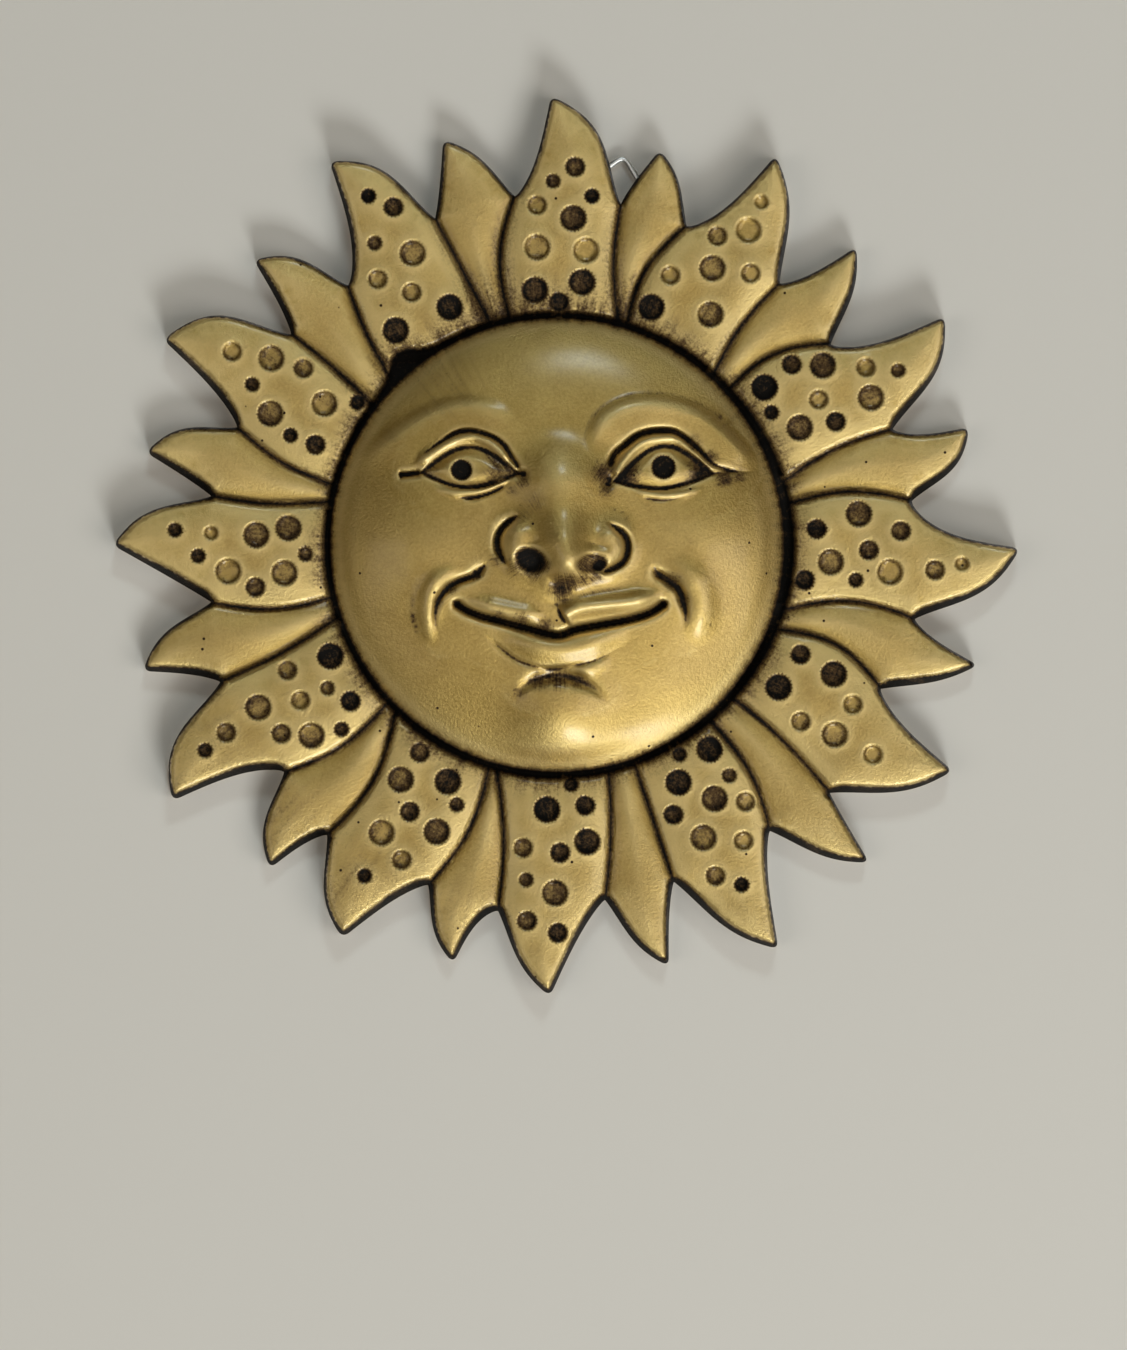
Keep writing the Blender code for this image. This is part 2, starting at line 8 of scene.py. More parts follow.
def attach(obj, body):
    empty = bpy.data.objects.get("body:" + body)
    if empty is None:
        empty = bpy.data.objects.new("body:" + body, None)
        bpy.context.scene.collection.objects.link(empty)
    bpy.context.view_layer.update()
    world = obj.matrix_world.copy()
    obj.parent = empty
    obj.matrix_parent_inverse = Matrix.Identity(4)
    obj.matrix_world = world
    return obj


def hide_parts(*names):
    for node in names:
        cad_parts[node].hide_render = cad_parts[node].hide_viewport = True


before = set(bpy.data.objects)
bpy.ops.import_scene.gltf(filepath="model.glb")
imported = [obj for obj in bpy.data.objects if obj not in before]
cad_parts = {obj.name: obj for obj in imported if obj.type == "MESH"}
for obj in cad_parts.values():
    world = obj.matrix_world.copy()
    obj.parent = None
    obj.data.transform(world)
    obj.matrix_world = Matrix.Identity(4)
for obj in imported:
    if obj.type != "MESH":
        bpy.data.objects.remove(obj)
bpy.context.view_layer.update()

mm = 0.001

# Plans are in millimetres, x to the right and z up from the middle of the sun, and heights stand
# forward of the wall. A pixel is one of the photograph's 1127 x 1350.

photograph = {"pixelsPerMm": 6.4, "sunPixel": (557, 545)}

sunPlaque = {
    "faceRadius": 35.55,
    "grooveWidth": 1.0, "rimLip": 0.35,
    # Share of the groove's width that is there all around, then what is added around a heading,
    # each with that heading and its reach in radians
    "grooveLeast": 0.52,
    "grooveMore": ((0.75, 1.6, 0.7), (0.18, math.pi, 0.8), (2.6, math.radians(-40), 0.085)),
    "dottedCrown": 6.2, "plainCrown": 4.9,
    "wallTop": 4.3, "plainWallTop": 3.4,
    "wallDraft": 0.45, "draftTurn": 0.55, "leastDraft": 0.25, "mostDraft": 0.95,
    "tipsFrom": 58, "tipsOver": 10, "tipDraftLoss": 0.35,
    "edgeRound": 0.6,
    "cushionWidth": 5.5, "cushionDrop": 0.75,
    "tipRound": 1.4,
    "seamFloor": 3.7, "grooveFloor": 2.5,
    "rimHeight": 5.6, "domeRise": 7.6,
    "largeDimple": 3.9, "mediumDimple": 2.9, "smallDimple": 2.15,
    "dimpleDraft": 0.2,
    "dimpleDepth": 0.85,
    "dimpleLip": 0.08,
    # How finely the surface is divided, in millimetres or steps
    "sideSteps": 42, "tipSteps": 7, "seamSteps": 46, "ringSteps": 560,
    "fineGrid": 0.25, "faceGrid": 0.47, "rayGrid": 0.66, "gridHalf": 75,
}

# Rows of corners along the edges, in millimetres from the edge that they follow. Those along the
# side walls are given as a share of the wall's width, what is added to it and the gap kept.
cornerRows = {
    "dot": (0.5, 0.22, 0.0), "pupil": (0.2, 0.0, -0.15, -0.3), "pupilCorners": 26,
    "seam": (0.3, 0.65, 1.15), "groove": (0.0, 0.3, 0.7, 1.2, 1.8),
    "wall": ((1, 0, 0.15), (1, 0.14, 0.17), (0.5, 0, 0.24), (1, 0.35, 0.24),
             (1, 0.65, 0.24), (1, 1.05, 0.24), (1, 1.5, 0.24)),
    "rowGap": 0.3, "nearWire": 1.3, "nearWireSteps": 10,
}

# Rays, clockwise from the top: tip, notch on the clockwise side and foot of the seam between them
# in pixels, then how far the two sides and the seam stand off a straight line in millimetres.
rayRows = (
    ((551, 99), (621, 204), (621, 312), -1.1, 3.0, 0.9),
    ((659, 153), (687, 226), (628, 319), 0.3, 1.1, 1.8),
    ((774, 158), (780, 283), (724, 362), -1.5, 1.9, 0.9),
    ((854, 249), (831, 344), (736, 382), -0.8, 1.3, 2.0),
    ((942, 318), (893, 429), (790, 480), -1.5, 2.4, 1.1),
    ((966, 428), (912, 501), (793, 503), -0.9, 2.0, 1.6),
    ((1017, 548), (915, 619), (790, 612), -2.2, 2.3, 2.1),
    ((975, 664), (881, 689), (783, 632), -0.7, 0.9, 2.5),
    ((950, 769), (830, 793), (742, 706), -1.1, 1.7, 0.7),
    ((867, 860), (770, 831), (716, 728), -0.1, 1.2, 1.6),
    ((777, 946), (674, 882), (636, 768), -0.8, 1.6, 0.0),
    ((668, 963), (605, 900), (610, 778), -0.4, 1.2, 0.6),
    ((550, 993), (498, 911), (496, 772), -0.7, 1.3, 1.0),
    ((454, 960), (428, 885), (489, 768), -1.2, 1.3, 1.7),
    ((344, 935), (327, 835), (394, 713), -0.8, 1.8, 2.2),
    ((272, 866), (284, 772), (384, 706), -0.6, 1.9, 1.7),
    ((175, 799), (220, 682), (336, 618), -1.4, 3.1, 0.7),
    ((146, 670), (211, 602), (328, 598), -0.5, 1.7, 1.5),
    ((116, 545), (211, 496), (327, 501), -0.1, 2.1, 0.8),
    ((149, 453), (237, 427), (334, 485), -0.2, 2.0, 1.1),
    ((166, 341), (291, 334), (372, 404), -0.9, 3.4, -0.3),
    ((256, 262), (348, 285), (391, 378), -0.4, 2.0, 0.5),
    ((331, 164), (435, 218), (490, 322), -1.5, 2.7, 0.0),
    ((444, 143), (515, 196), (509, 316), -0.2, 1.3, 1.9),
)

# Pressed dots: pixel x and y, and how dark the stain in it is, from 0 to 1
largeDots = (
    (573, 219, 0.7), (537, 248, 0.3), (586, 251, 0.1), (535, 291, 0.8), (582, 283, 0.85),
    (748, 231, 0.1), (712, 269, 0.35), (651, 308, 0.9), (710, 315, 0.5),
    (822, 366, 0.6), (764, 388, 1.0), (870, 398, 0.45), (799, 428, 0.6),
    (858, 514, 0.6), (830, 562, 0.5), (889, 572, 0.3),
    (833, 674, 0.8), (778, 687, 0.9), (834, 734, 0.35),
    (709, 749, 0.9), (678, 782, 0.9), (714, 798, 0.6), (703, 837, 0.4),
    (547, 809, 0.9), (587, 841, 0.8), (555, 892, 0.6),
    (401, 779, 0.6), (448, 781, 0.8), (382, 832, 0.4), (437, 831, 0.65),
    (331, 656, 0.95), (259, 707, 0.5), (312, 735, 0.5),
    (257, 535, 0.6), (289, 528, 0.55), (229, 571, 0.3), (285, 573, 0.4),
    (272, 359, 0.35), (271, 414, 0.5), (325, 404, 0.3),
    (413, 254, 0.4), (450, 308, 0.9), (396, 331, 0.85),
)
mediumDots = (
    (575, 168, 0.65), (537, 206, 0.3), (559, 303, 0.9),
    (717, 237, 0.3), (670, 276, 0.25), (750, 274, 0.15),
    (791, 365, 0.8), (865, 368, 0.2), (818, 400, 0.25), (835, 422, 0.85),
    (816, 529, 0.9), (900, 531, 0.6), (868, 550, 0.7), (934, 570, 0.4), (804, 580, 0.9),
    (800, 654, 0.8), (852, 704, 0.2), (800, 721, 0.3), (872, 754, 0.2),
    (745, 801, 0.25), (673, 814, 0.8), (743, 840, 0.25), (715, 875, 0.4),
    (585, 805, 0.9), (560, 852, 0.7), (523, 847, 0.5), (527, 920, 0.7), (558, 932, 0.8),
    (420, 752, 0.6), (410, 811, 0.7), (402, 859, 0.4),
    (288, 670, 0.4), (301, 700, 0.3), (351, 701, 0.9), (282, 733, 0.5), (227, 732, 0.4),
    (256, 587, 0.6),
    (233, 352, 0.2), (304, 369, 0.4), (316, 445, 0.85),
    (394, 208, 0.75), (378, 280, 0.25), (412, 293, 0.3),
)
smallDots = (
    (553, 182, 0.65), (592, 197, 0.85), (761, 203, 0.1), (897, 371, 0.5), (771, 413, 0.9),
    (961, 564, 0.1), (855, 580, 0.8), (679, 754, 0.8), (729, 775, 0.6), (741, 884, 0.85),
    (571, 784, 0.9), (526, 879, 0.6), (457, 804, 0.7), (365, 875, 0.8),
    (328, 688, 0.4), (342, 729, 0.7), (206, 750, 0.7),
    (176, 530, 0.7), (212, 533, 0.2), (199, 556, 0.8), (306, 554, 0.6),
    (253, 385, 0.75), (358, 403, 0.9), (291, 436, 0.8), (369, 197, 0.95), (375, 244, 0.6),
)


# A pixel of the photograph as x and z in millimetres from the middle of the sun.
def spot(pixel):
    middle, scale = photograph["sunPixel"], photograph["pixelsPerMm"]
    return np.array([(pixel[0] - middle[0]) / scale, (middle[1] - pixel[1]) / scale])


def spots(pixels):
    return np.array([spot(pixel) for pixel in pixels])


# Distance of each place from a pixel.
def awayFrom(pixel, x, z):
    return np.hypot(*(np.array([x, z]) - spot(pixel)[:, None]))


# Point at a heading, clockwise from the top in radians, and a distance from the middle.
def onHeading(heading, radius):
    return np.array([radius * math.sin(heading), radius * math.cos(heading)])


def headingOf(place):
    return math.atan2(place[0], place[1])


# A Catmull-Rom curve: each stretch is the cubic through its two points whose slopes are half the
# step between their neighbours.
def smoothLine(points, steps):
    points = np.asarray(points, dtype=float)
    padded = np.vstack([2 * points[0] - points[1], points, 2 * points[-1] - points[-2]])
    t = np.tile(np.arange(steps) / steps, len(points) - 1)[:, None]
    a, b, c, d = (np.repeat(padded[i:len(points) - 1 + i], steps, axis=0) for i in range(4))
    curve = 0.5 * (2 * b + (c - a) * t + (2 * a - 5 * b + 4 * c - d) * t ** 2
                   + (3 * b - a - 3 * c + d) * t ** 3)
    return np.vstack([curve, points[-1:]])


# From start to end, standing off to the left by bow times sin(pi t to the power lean).
def bowed(start, end, bow, lean, t):
    along = end - start
    aside = np.array([-along[1], along[0]]) / np.hypot(*along)
    t = np.asarray(t)[:, None]
    return start + along * t + aside * bow * np.sin(math.pi * t ** lean)


# Bell curve of the angle from a heading, from -pi to pi the short way round.
def bellAround(heading, middle, reach):
    return np.exp(-(np.angle(np.exp(1j * (heading - middle))) / reach) ** 2)


# Outer edge of the channel around the face: narrow, wider at the right and below, and much wider
# at one place at the upper left.
def grooveOuter(heading):
    widening = sum((more * bellAround(heading, middle, reach) for more, middle, reach in
                    sunPlaque["grooveMore"]), sunPlaque["grooveLeast"])
    return sunPlaque["faceRadius"] + sunPlaque["grooveWidth"] * widening


# The rays in millimetres. Each tip stands a little further out, for what its rounding takes off.
def layOutRays():
    rays = []
    for tip, notch, foot, hollow, belly, seamBow in rayRows:
        heading = headingOf(spot(tip))
        reach = np.hypot(*spot(tip)) + 0.4 * sunPlaque["tipRound"]
        footHeading = headingOf(spot(foot))
        rays.append(dict(tip=onHeading(heading, reach), notch=spot(notch),
                         foot=onHeading(footHeading, grooveOuter(footHeading)),
                         hollow=hollow, belly=belly, seamBow=seamBow))
    return rays


# The outline, clockwise: up the hollow side of each ray, round its tip along a quadratic curve,
# and down its belly to the next notch.
def layOutOutline(rays, sideCount, tipCount):
    pieces = []
    for index, ray in enumerate(rays):
        sides = []
        for start, bow, lean in ((rays[index - 1]["notch"], ray["hollow"], 0.7),
                                 (ray["notch"], -ray["belly"], 1.3)):
            cut = 1 - sunPlaque["tipRound"] / np.hypot(*(ray["tip"] - start))
            sides.append(bowed(start, ray["tip"], bow, lean, np.linspace(0, cut, sideCount + 1)))
        up, down = sides
        t = np.linspace(0, 1, tipCount + 2)[1:-1, None]
        cap = (1 - t) ** 2 * up[-1] + 2 * t * (1 - t) * ray["tip"] + t ** 2 * down[-1]
        pieces += [up, cap, down[:0:-1]]
    return np.vstack(pieces)


# Shortest distance from each place to a line of points, and the share of the line's length at
# which it is met.
def distanceTo(line, x, z):
    best = np.full(np.shape(x), 1e9)
    share = np.zeros(np.shape(x))
    lengths = np.hypot(*np.diff(line, axis=0).T)
    starts = np.concatenate([[0], np.cumsum(lengths)[:-1]])
    whole = lengths.sum()
    for (ax, az), (bx, bz), length, start in zip(line[:-1], line[1:], lengths, starts):
        t = ((x - ax) * (bx - ax) + (z - az) * (bz - az)) / max(length, 1e-9) ** 2
        t = np.clip(t, 0, 1)
        squared = (x - ax - t * (bx - ax)) ** 2 + (z - az - t * (bz - az)) ** 2
        closer = squared < best
        best = np.where(closer, squared, best)
        share = np.where(closer, (start + t * length) / whole, share)
    return np.sqrt(best), share


# Distance to a line, worked out only within a reach of it; elsewhere it stays at the far value.
def nearDistance(line, x, z, reach, far=99.0):
    low, high = line.min(axis=0) - reach, line.max(axis=0) + reach
    near = (x > low[0]) & (x < high[0]) & (z > low[1]) & (z < high[1])
    distance, share = np.full(np.shape(x), far), np.zeros(np.shape(x))
    if near.any():
        distance[near], share[near] = distanceTo(line, x[near], z[near])
    return distance, share


# Even-odd rule: a place is inside when it sees an odd number of the loop's sides to its right.
def insideOf(loop, x, z):
    low, high = loop.min(axis=0), loop.max(axis=0)
    near = (x >= low[0]) & (x <= high[0]) & (z >= low[1]) & (z <= high[1])
    nx, nz = x[near], z[near]
    inside = np.zeros(nx.shape, dtype=bool)
    for (ax, az), (bx, bz) in zip(loop, np.roll(loop, -1, axis=0)):
        if az != bz:
            crossing = (az > nz) != (bz > nz)
            inside ^= crossing & (nx < (bx - ax) * (nz - az) / (bz - az) + ax)
    result = np.zeros(np.shape(x), dtype=bool)
    result[near] = inside
    return result


# A quarter round: low at distance 0 and high from the width on.
def turnedEdge(distance, low, high, width):
    share = 1 - np.clip(distance / width, 0, 1)
    return low + (high - low) * np.sqrt(1 - share ** 2)


# A bell curve of a distance.
def soft(distance, reach):
    return np.exp(-(distance / reach) ** 2)


# From 0 to 1 over the width, with a smooth start and end.
def ease(value, width):
    t = np.clip(value / width, 0, 1)
    return t * t * (3 - 2 * t)


# Slow waves of hand-made unevenness, at most 1 either way: a sum of sines along three directions.
def unevenness(x, z, length):
    turn = 2 * math.pi / length
    return (np.sin(turn * (x + 0.6 * z)) + np.sin(turn * (0.7 * z - 0.9 * x) + 1.7)
            + np.sin(turn * (1.3 * z + 0.2 * x) + 4.1)) / 3


# Lines of the face in pixels, each with its reach and rise in millimetres and the shares of its
# length over which it fades in and out. Broad ridges and grooves first, fine ones after.
sunFace = {
    # Hoods over the eyes: upper and lower edge, rise, how soft the upper edge is and how it fades
    # in and out along that edge
    "hoods": (
        dict(upper=((352, 468), (380, 441), (409, 420), (440, 405), (472, 400), (503, 409), (524, 432)),
             lower=((370, 477), (405, 470), (420, 458), (442, 439), (470, 429), (498, 438), (519, 462)),
             rise=0.75, edge=2.6, fade=(0.3, 0.3)),
        dict(upper=((589, 462), (590, 437), (600, 417), (622, 403), (650, 399), (680, 403), (708, 415),
                    (735, 437), (752, 455), (762, 470)),
             lower=((598, 480), (608, 466), (625, 443), (650, 430), (675, 430), (692, 442), (712, 461),
                    (734, 470), (760, 471)),
             rise=1.0, edge=2.6, fade=(0.2, 0.12)),
    ),
    "nose": (
        (((560, 425), (559, 470), (561, 510), (564, 545)), 6.0, 2.3, 0.5, 0),
        (((563, 545), (567, 558)), 4.1, 2.2, 0, 0),
        (((569, 566), (571, 569)), 2.6, 0.9, 0, 0),
        (((517, 535), (516, 547), (522, 556)), 2.4, 1.8, 0, 0),
        (((612, 538), (614, 550), (606, 560)), 2.6, 1.9, 0, 0),
    ),
    "noseGrooves": (
        (((522, 514), (510, 522), (502, 530), (498, 539), (498, 548), (501, 556), (505, 563), (511, 568)),
         0.55, -1.5, 0.3, 0.35),
        (((605, 522), (615, 528), (623, 535), (627, 543), (627, 553), (623, 562), (615, 568), (604, 572),
          (597, 574)), 0.55, -1.5, 0.25, 0.15),
        (((544, 577), (562, 582), (582, 580)), 1.2, -0.45, 0.3, 0.3),
        (((561, 596), (560, 609)), 1.8, -0.22, 0.3, 0.3),
    ),
    "cheeks": (
        (((402, 548), (403, 549)), 10.0, 1.5, 0, 0),
        (((715, 548), (716, 549)), 10.0, 1.5, 0, 0),
        (((462, 566), (441, 579), (431, 593), (428, 609), (429, 627), (435, 647)), 1.5, 0.95, 0.35, 0.4),
        (((666, 558), (684, 570), (698, 587), (702, 606), (699, 625), (692, 645)), 2.2, 0.9, 0.4, 0.35),
        (((489, 562), (476, 575), (459, 582), (447, 590), (439, 601), (436, 615), (437, 628), (441, 644)),
         0.58, -1.15, 0.15, 0.75),
        (((651, 564), (657, 574), (668, 581), (678, 590), (683, 604), (685, 618), (682, 632)),
         0.68, -1.2, 0.2, 0.5),
    ),
    "mouth": (
        (((560, 721), (560, 723)), 7.5, 2.0, 0, 0),
        (((497, 632), (520, 642), (545, 648), (568, 648), (592, 643), (616, 634), (634, 627)),
         2.0, 1.2, 0.35, 0.35),
        (((561, 618), (578, 609), (604, 605), (632, 602), (650, 597), (664, 590)), 1.45, 1.6, 0.06, 0.3),
        (((466, 597), (487, 605), (508, 610), (530, 614), (550, 618)), 1.3, 0.85, 0.35, 0.3),
        (((453, 600), (464, 609), (480, 616), (499, 621), (525, 628), (551, 635), (563, 635), (576, 630),
          (602, 625), (628, 620), (650, 613), (668, 601)), 0.62, -2.2, 0.03, 0.03),
        (((485, 634), (504, 651), (519, 661), (537, 667), (553, 669), (573, 666), (594, 661), (611, 652),
          (633, 639)), 0.4, -0.3, 0.12, 0.45),
        (((574, 671), (595, 667), (612, 658)), 1.0, 0.4, 0.35, 0.4),
        (((516, 705), (518, 695), (526, 685), (540, 678), (554, 675), (566, 676), (581, 681), (594, 688),
          (604, 698), (608, 706)), 1.15, -1.35, 0.45, 0.45),
    ),
    "lids": (
        (((415, 466), (428, 458), (443, 448), (457, 441), (471, 438), (480, 439), (491, 444), (500, 452),
          (510, 463)), 0.75, 0.85, 0.12, 0.08),
        (((614, 478), (621, 466), (631, 453), (643, 444), (656, 440), (673, 439), (684, 445), (696, 455),
          (708, 464), (720, 469), (730, 471)), 0.8, 0.9, 0.05, 0.2),
        (((414, 464), (428, 453), (443, 442), (457, 434), (470, 432), (481, 434), (495, 439), (505, 447),
          (510, 455), (516, 464), (520, 472)), 0.36, -0.85, 0.45, 0.05),
        (((608, 471), (614, 456), (625, 446), (637, 437), (649, 433), (661, 432), (673, 433), (684, 439),
          (696, 449), (706, 459), (714, 466), (726, 470), (735, 472), (749, 472), (761, 469)),
         0.48, -1.25, 0.05, 0.45),
        (((430, 488), (450, 493), (462, 494), (486, 491), (500, 484), (510, 479)), 0.6, 0.6, 0.35, 0.1),
        (((631, 491), (643, 494), (661, 497), (679, 496), (690, 493), (703, 489)), 0.55, 0.5, 0.2, 0.3),
        (((457, 498), (471, 499), (481, 497), (495, 492), (505, 486), (513, 481)), 0.33, -0.55, 0.25, 0.35),
        (((637, 498), (651, 500), (663, 501), (675, 499), (687, 496), (696, 492)), 0.3, -0.22, 0.3, 0.3),
        (((399, 476), (409, 475), (418, 474)), 0.5, -1.1, 0.1, 0),
        (((713, 474), (725, 473), (740, 473)), 0.4, -0.4, 0, 0.6),
        (((519, 474), (523, 475)), 0.7, -0.9, 0, 0),
        (((609, 481), (608, 484)), 0.8, -0.8, 0, 0),
    ),
    # Eye openings: corners, how far the upper and lower edge arch from the line between them, the
    # pressed pupil and how dark the stain lies towards the corners
    "eyes": (
        dict(outer=(419, 474), inner=(521, 475), upper=4.5, lower=-2.6, pupil=(462, 471), width=3.3,
             patina=0.5),
        dict(outer=(714, 475), inner=(612, 483), upper=5.4, lower=-2.0, pupil=(663, 468), width=3.7,
             patina=0.85),
    ),
    "eyeSink": 0.75, "eyeBulge": 0.8, "pupilDepth": 0.8,
    # Nostrils and the pit below the nose: middle, half width, half height, tilt in degrees, depth
    # and how dark
    "pits": (
        ((531, 561), 2.6, 1.95, -24, 1.9, 1.0),
        ((592, 564), 2.5, 1.6, 12, 0.9, 0.6),
        ((599, 566), 1.2, 0.95, 15, 1.0, 1.0),
        ((562, 586), 1.6, 1.3, 10, 0.35, 0.6),
    ),
    # Stain rubbed into the corners and hollows: middle, reach in millimetres and how dark. The two at the
    # right eye's outer corner are partly painted shade, and the last five, on the left side of the nose, the
    # forehead and the temples, are painted shade
    "smudges": (
        ((603, 474), 1.9, 0.75), ((606, 491), 1.5, 0.5), ((694, 444), 1.3, 0.55), ((710, 458), 1.3, 0.6),
        ((724, 479), 1.6, 0.7), ((738, 477), 1.5, 0.5), ((523, 483), 1.2, 0.55), ((513, 491), 1.2, 0.4),
        ((561, 588), 1.9, 0.85), ((570, 583), 1.5, 0.7), ((582, 581), 1.5, 0.55), ((595, 577), 1.5, 0.5),
        ((520, 566), 1.9, 0.5), ((514, 572), 1.5, 0.4), ((545, 566), 1.1, 0.6), ((533, 572), 1.6, 0.6),
        ((497, 560), 1.3, 0.45), ((500, 617), 1.3, 0.4), ((522, 621), 1.7, 0.5), ((544, 627), 1.6, 0.6),
        ((540, 681), 1.5, 0.6), ((558, 679), 1.7, 0.7), ((577, 682), 1.3, 0.5), ((520, 692), 1.2, 0.5),
        ((452, 589), 1.2, 0.5), ((440, 603), 1.1, 0.4), ((672, 582), 1.5, 0.6), ((683, 600), 1.2, 0.5),
        ((534, 505), 2.2, 0.3), ((524, 515), 1.6, 0.3), ((445, 385), 8.0, 0.2), ((735, 415), 4.5, 0.2),
        ((392, 440), 4.0, 0.16),
    ),
    # Where the surface needs its finest division: middle pixel, half width and half height
    "detail": (
        ((468, 470), 11.5, 8.0), ((672, 468), 14.0, 8.5), ((563, 552), 12.0, 7.5),
        ((562, 622), 19.0, 9.0), ((562, 688), 9.0, 4.5), ((445, 600), 4.5, 9.0), ((680, 605), 4.5, 8.0),
    ),
}
strokeNames = ("nose", "noseGrooves", "cheeks", "mouth", "lids")


# One line of the face: its rise times a bell curve of the distance to it, fading at its ends.
def stroke(x, z, pixels, reach, rise, fadeIn, fadeOut):
    line = smoothLine(spots(pixels), 6)
    distance, share = nearDistance(line, x, z, 3 * reach)
    strength = np.ones(np.shape(x))
    if fadeIn:
        strength = strength * ease(share, fadeIn)
    if fadeOut:
        strength = strength * ease(1 - share, fadeOut)
    return rise * strength * soft(distance, reach * (0.55 + 0.45 * strength))


# A hood over an eye: it stands out most at its upper edge and falls evenly to its lower edge.
def hoodRelief(hood, x, z):
    upper, lower = (smoothLine(spots(hood[side]), 6) for side in ("upper", "lower"))
    fromUpper, share = nearDistance(upper, x, z, 9.0)
    fromLower = nearDistance(lower, x, z, 9.0)[0]
    inside = insideOf(np.vstack([upper, lower[::-1]]), x, z)
    rim = ease(np.where(inside, fromUpper, -fromUpper) + 0.4 * hood["edge"], hood["edge"])
    fall = np.where(inside, fromLower / (fromUpper + fromLower + 1e-6), 1)
    return hood["rise"] * rim * fall * ease(share, hood["fade"][0]) * ease(1 - share, hood["fade"][1])


# Distance inside an eye's opening, positive between its two arches, which are sines of the share
# of the way between its corners.
def eyeOpening(eye, x, z):
    outer, inner = spot(eye["outer"]), spot(eye["inner"])
    run = inner[0] - outer[0]
    t = np.clip((x - outer[0]) / run, 0, 1)
    level = z - outer[1] - (inner[1] - outer[1]) * t
    gaps = []
    for bend, sign in ((eye["upper"], -1), (eye["lower"], 1)):
        slope = bend * math.pi * np.cos(math.pi * t) / run
        gaps.append(sign * (level - bend * np.sin(math.pi * t)) / np.sqrt(1 + slope ** 2))
    past = np.minimum(x - min(outer[0], inner[0]), max(outer[0], inner[0]) - x)
    return np.minimum(np.minimum(*gaps), past)


# Distance from the middle of a tilted oval pit, 1 on its edge.
def pitAway(x, z, middle, halfWidth, halfHeight, tilt):
    dx, dz = np.array([x, z]) - spot(middle)[:, None]
    turn = math.radians(tilt)
    across = (dx * math.cos(turn) + dz * math.sin(turn)) / halfWidth
    along = (dz * math.cos(turn) - dx * math.sin(turn)) / halfHeight
    return np.hypot(across, along)


# Everything that stands above or below the face's dome.
def faceRelief(x, z):
    relief = np.zeros(np.shape(x))
    for name in strokeNames:
        for row in sunFace[name]:
            relief += stroke(x, z, *row)
    for hood in sunFace["hoods"]:
        relief += hoodRelief(hood, x, z)
    for eye in sunFace["eyes"]:
        opening = eyeOpening(eye, x, z)
        away = awayFrom(eye["pupil"], x, z)
        relief -= sunFace["eyeSink"] * ease(opening + 0.05, 0.35)
        relief += sunFace["eyeBulge"] * ease(opening, 2.6)
        relief -= sunFace["pupilDepth"] * ease(eye["width"] / 2 - away, 0.3)
    for middle, halfWidth, halfHeight, tilt, depth, dark in sunFace["pits"]:
        relief -= depth * ease(1.25 - pitAway(x, z, middle, halfWidth, halfHeight, tilt), 0.9)
    return relief


# Stain that settles inside the pupils, the pits and the corners of the eyes, and the smudges listed with the
# face, some of them painted shade.
def faceStainAndShade(x, z):
    stainAndShade = np.zeros(np.shape(x))
    for eye in sunFace["eyes"]:
        away = awayFrom(eye["pupil"], x, z)
        inEye = ease(eyeOpening(eye, x, z) + 0.3, 0.5)
        corner = ease(np.abs(x - spot(eye["pupil"])[0]) - 0.7 * eye["width"], 3.4)
        stainAndShade = np.maximum(stainAndShade, eye["patina"] * (0.12 + 0.88 * corner) * inEye)
        stainAndShade = np.maximum(stainAndShade, ease(eye["width"] / 2 - away + 0.1, 0.3))
    for middle, halfWidth, halfHeight, tilt, depth, dark in sunFace["pits"]:
        stainAndShade = np.maximum(stainAndShade, dark * ease(1.2 - pitAway(x, z, middle, halfWidth, halfHeight, tilt), 0.5))
    for middle, reach, dark in sunFace["smudges"]:
        stainAndShade = np.maximum(stainAndShade, dark * soft(awayFrom(middle, x, z), reach))
    return stainAndShade


# Height of the face: a dome that falls off towards its rim, with the relief fading out there.
def faceHeight(x, z):
    radius = sunPlaque["faceRadius"]
    away = np.hypot(x, z)
    inward = radius - away
    dome = sunPlaque["rimHeight"] + sunPlaque["domeRise"] * (1 - np.clip(away / radius, 0, 1) ** 2.3) ** 0.7
    dome += faceRelief(x, z) * ease(inward, 0.12 * radius) + 0.12 * unevenness(x, z, 23)
    lip, low = sunPlaque["rimLip"], sunPlaque["grooveFloor"]
    return np.where(inward < lip, low + (sunPlaque["rimHeight"] - low) * inward / lip, dome)


# Width of the drafted side wall along the outline: wider where it faces down, less so at the tips,
# and evened out over the neighbours. The wall is stained black, so the wider dark band where it faces down is
# partly painted shade.
def layOutWalls(line):
    size = sunPlaque
    along = np.roll(line, -1, axis=0) - np.roll(line, 1, axis=0)
    facingDown = -along[:, 0] / np.hypot(*along.T)
    atTips = ease(np.hypot(*line.T) - size["tipsFrom"], size["tipsOver"])
    widths = (size["wallDraft"] + size["draftTurn"] * facingDown) * (1 - size["tipDraftLoss"] * atTips)
    widths = np.clip(widths, size["leastDraft"], size["mostDraft"])
    return np.mean([np.roll(widths, step) for step in range(-3, 4)], axis=0)


rays = layOutRays()
outline = layOutOutline(rays, sunPlaque["sideSteps"], sunPlaque["tipSteps"])
outlineWalls = layOutWalls(outline)
perRay = len(outline) // len(rays)
seamShares = np.linspace(0, 1, sunPlaque["seamSteps"] + 1)
seams = [bowed(ray["foot"], ray["notch"], ray["seamBow"], 1, seamShares) for ray in rays]
dots = [(*spot(row), sunPlaque[size], row[2])
        for rows, size in ((largeDots, "largeDimple"), (mediumDots, "mediumDimple"),
                           (smallDots, "smallDimple")) for row in rows]
dots = np.array(dots)
print("plan laid out:", len(outline), "places on the outline,", len(dots), "pressed dots")


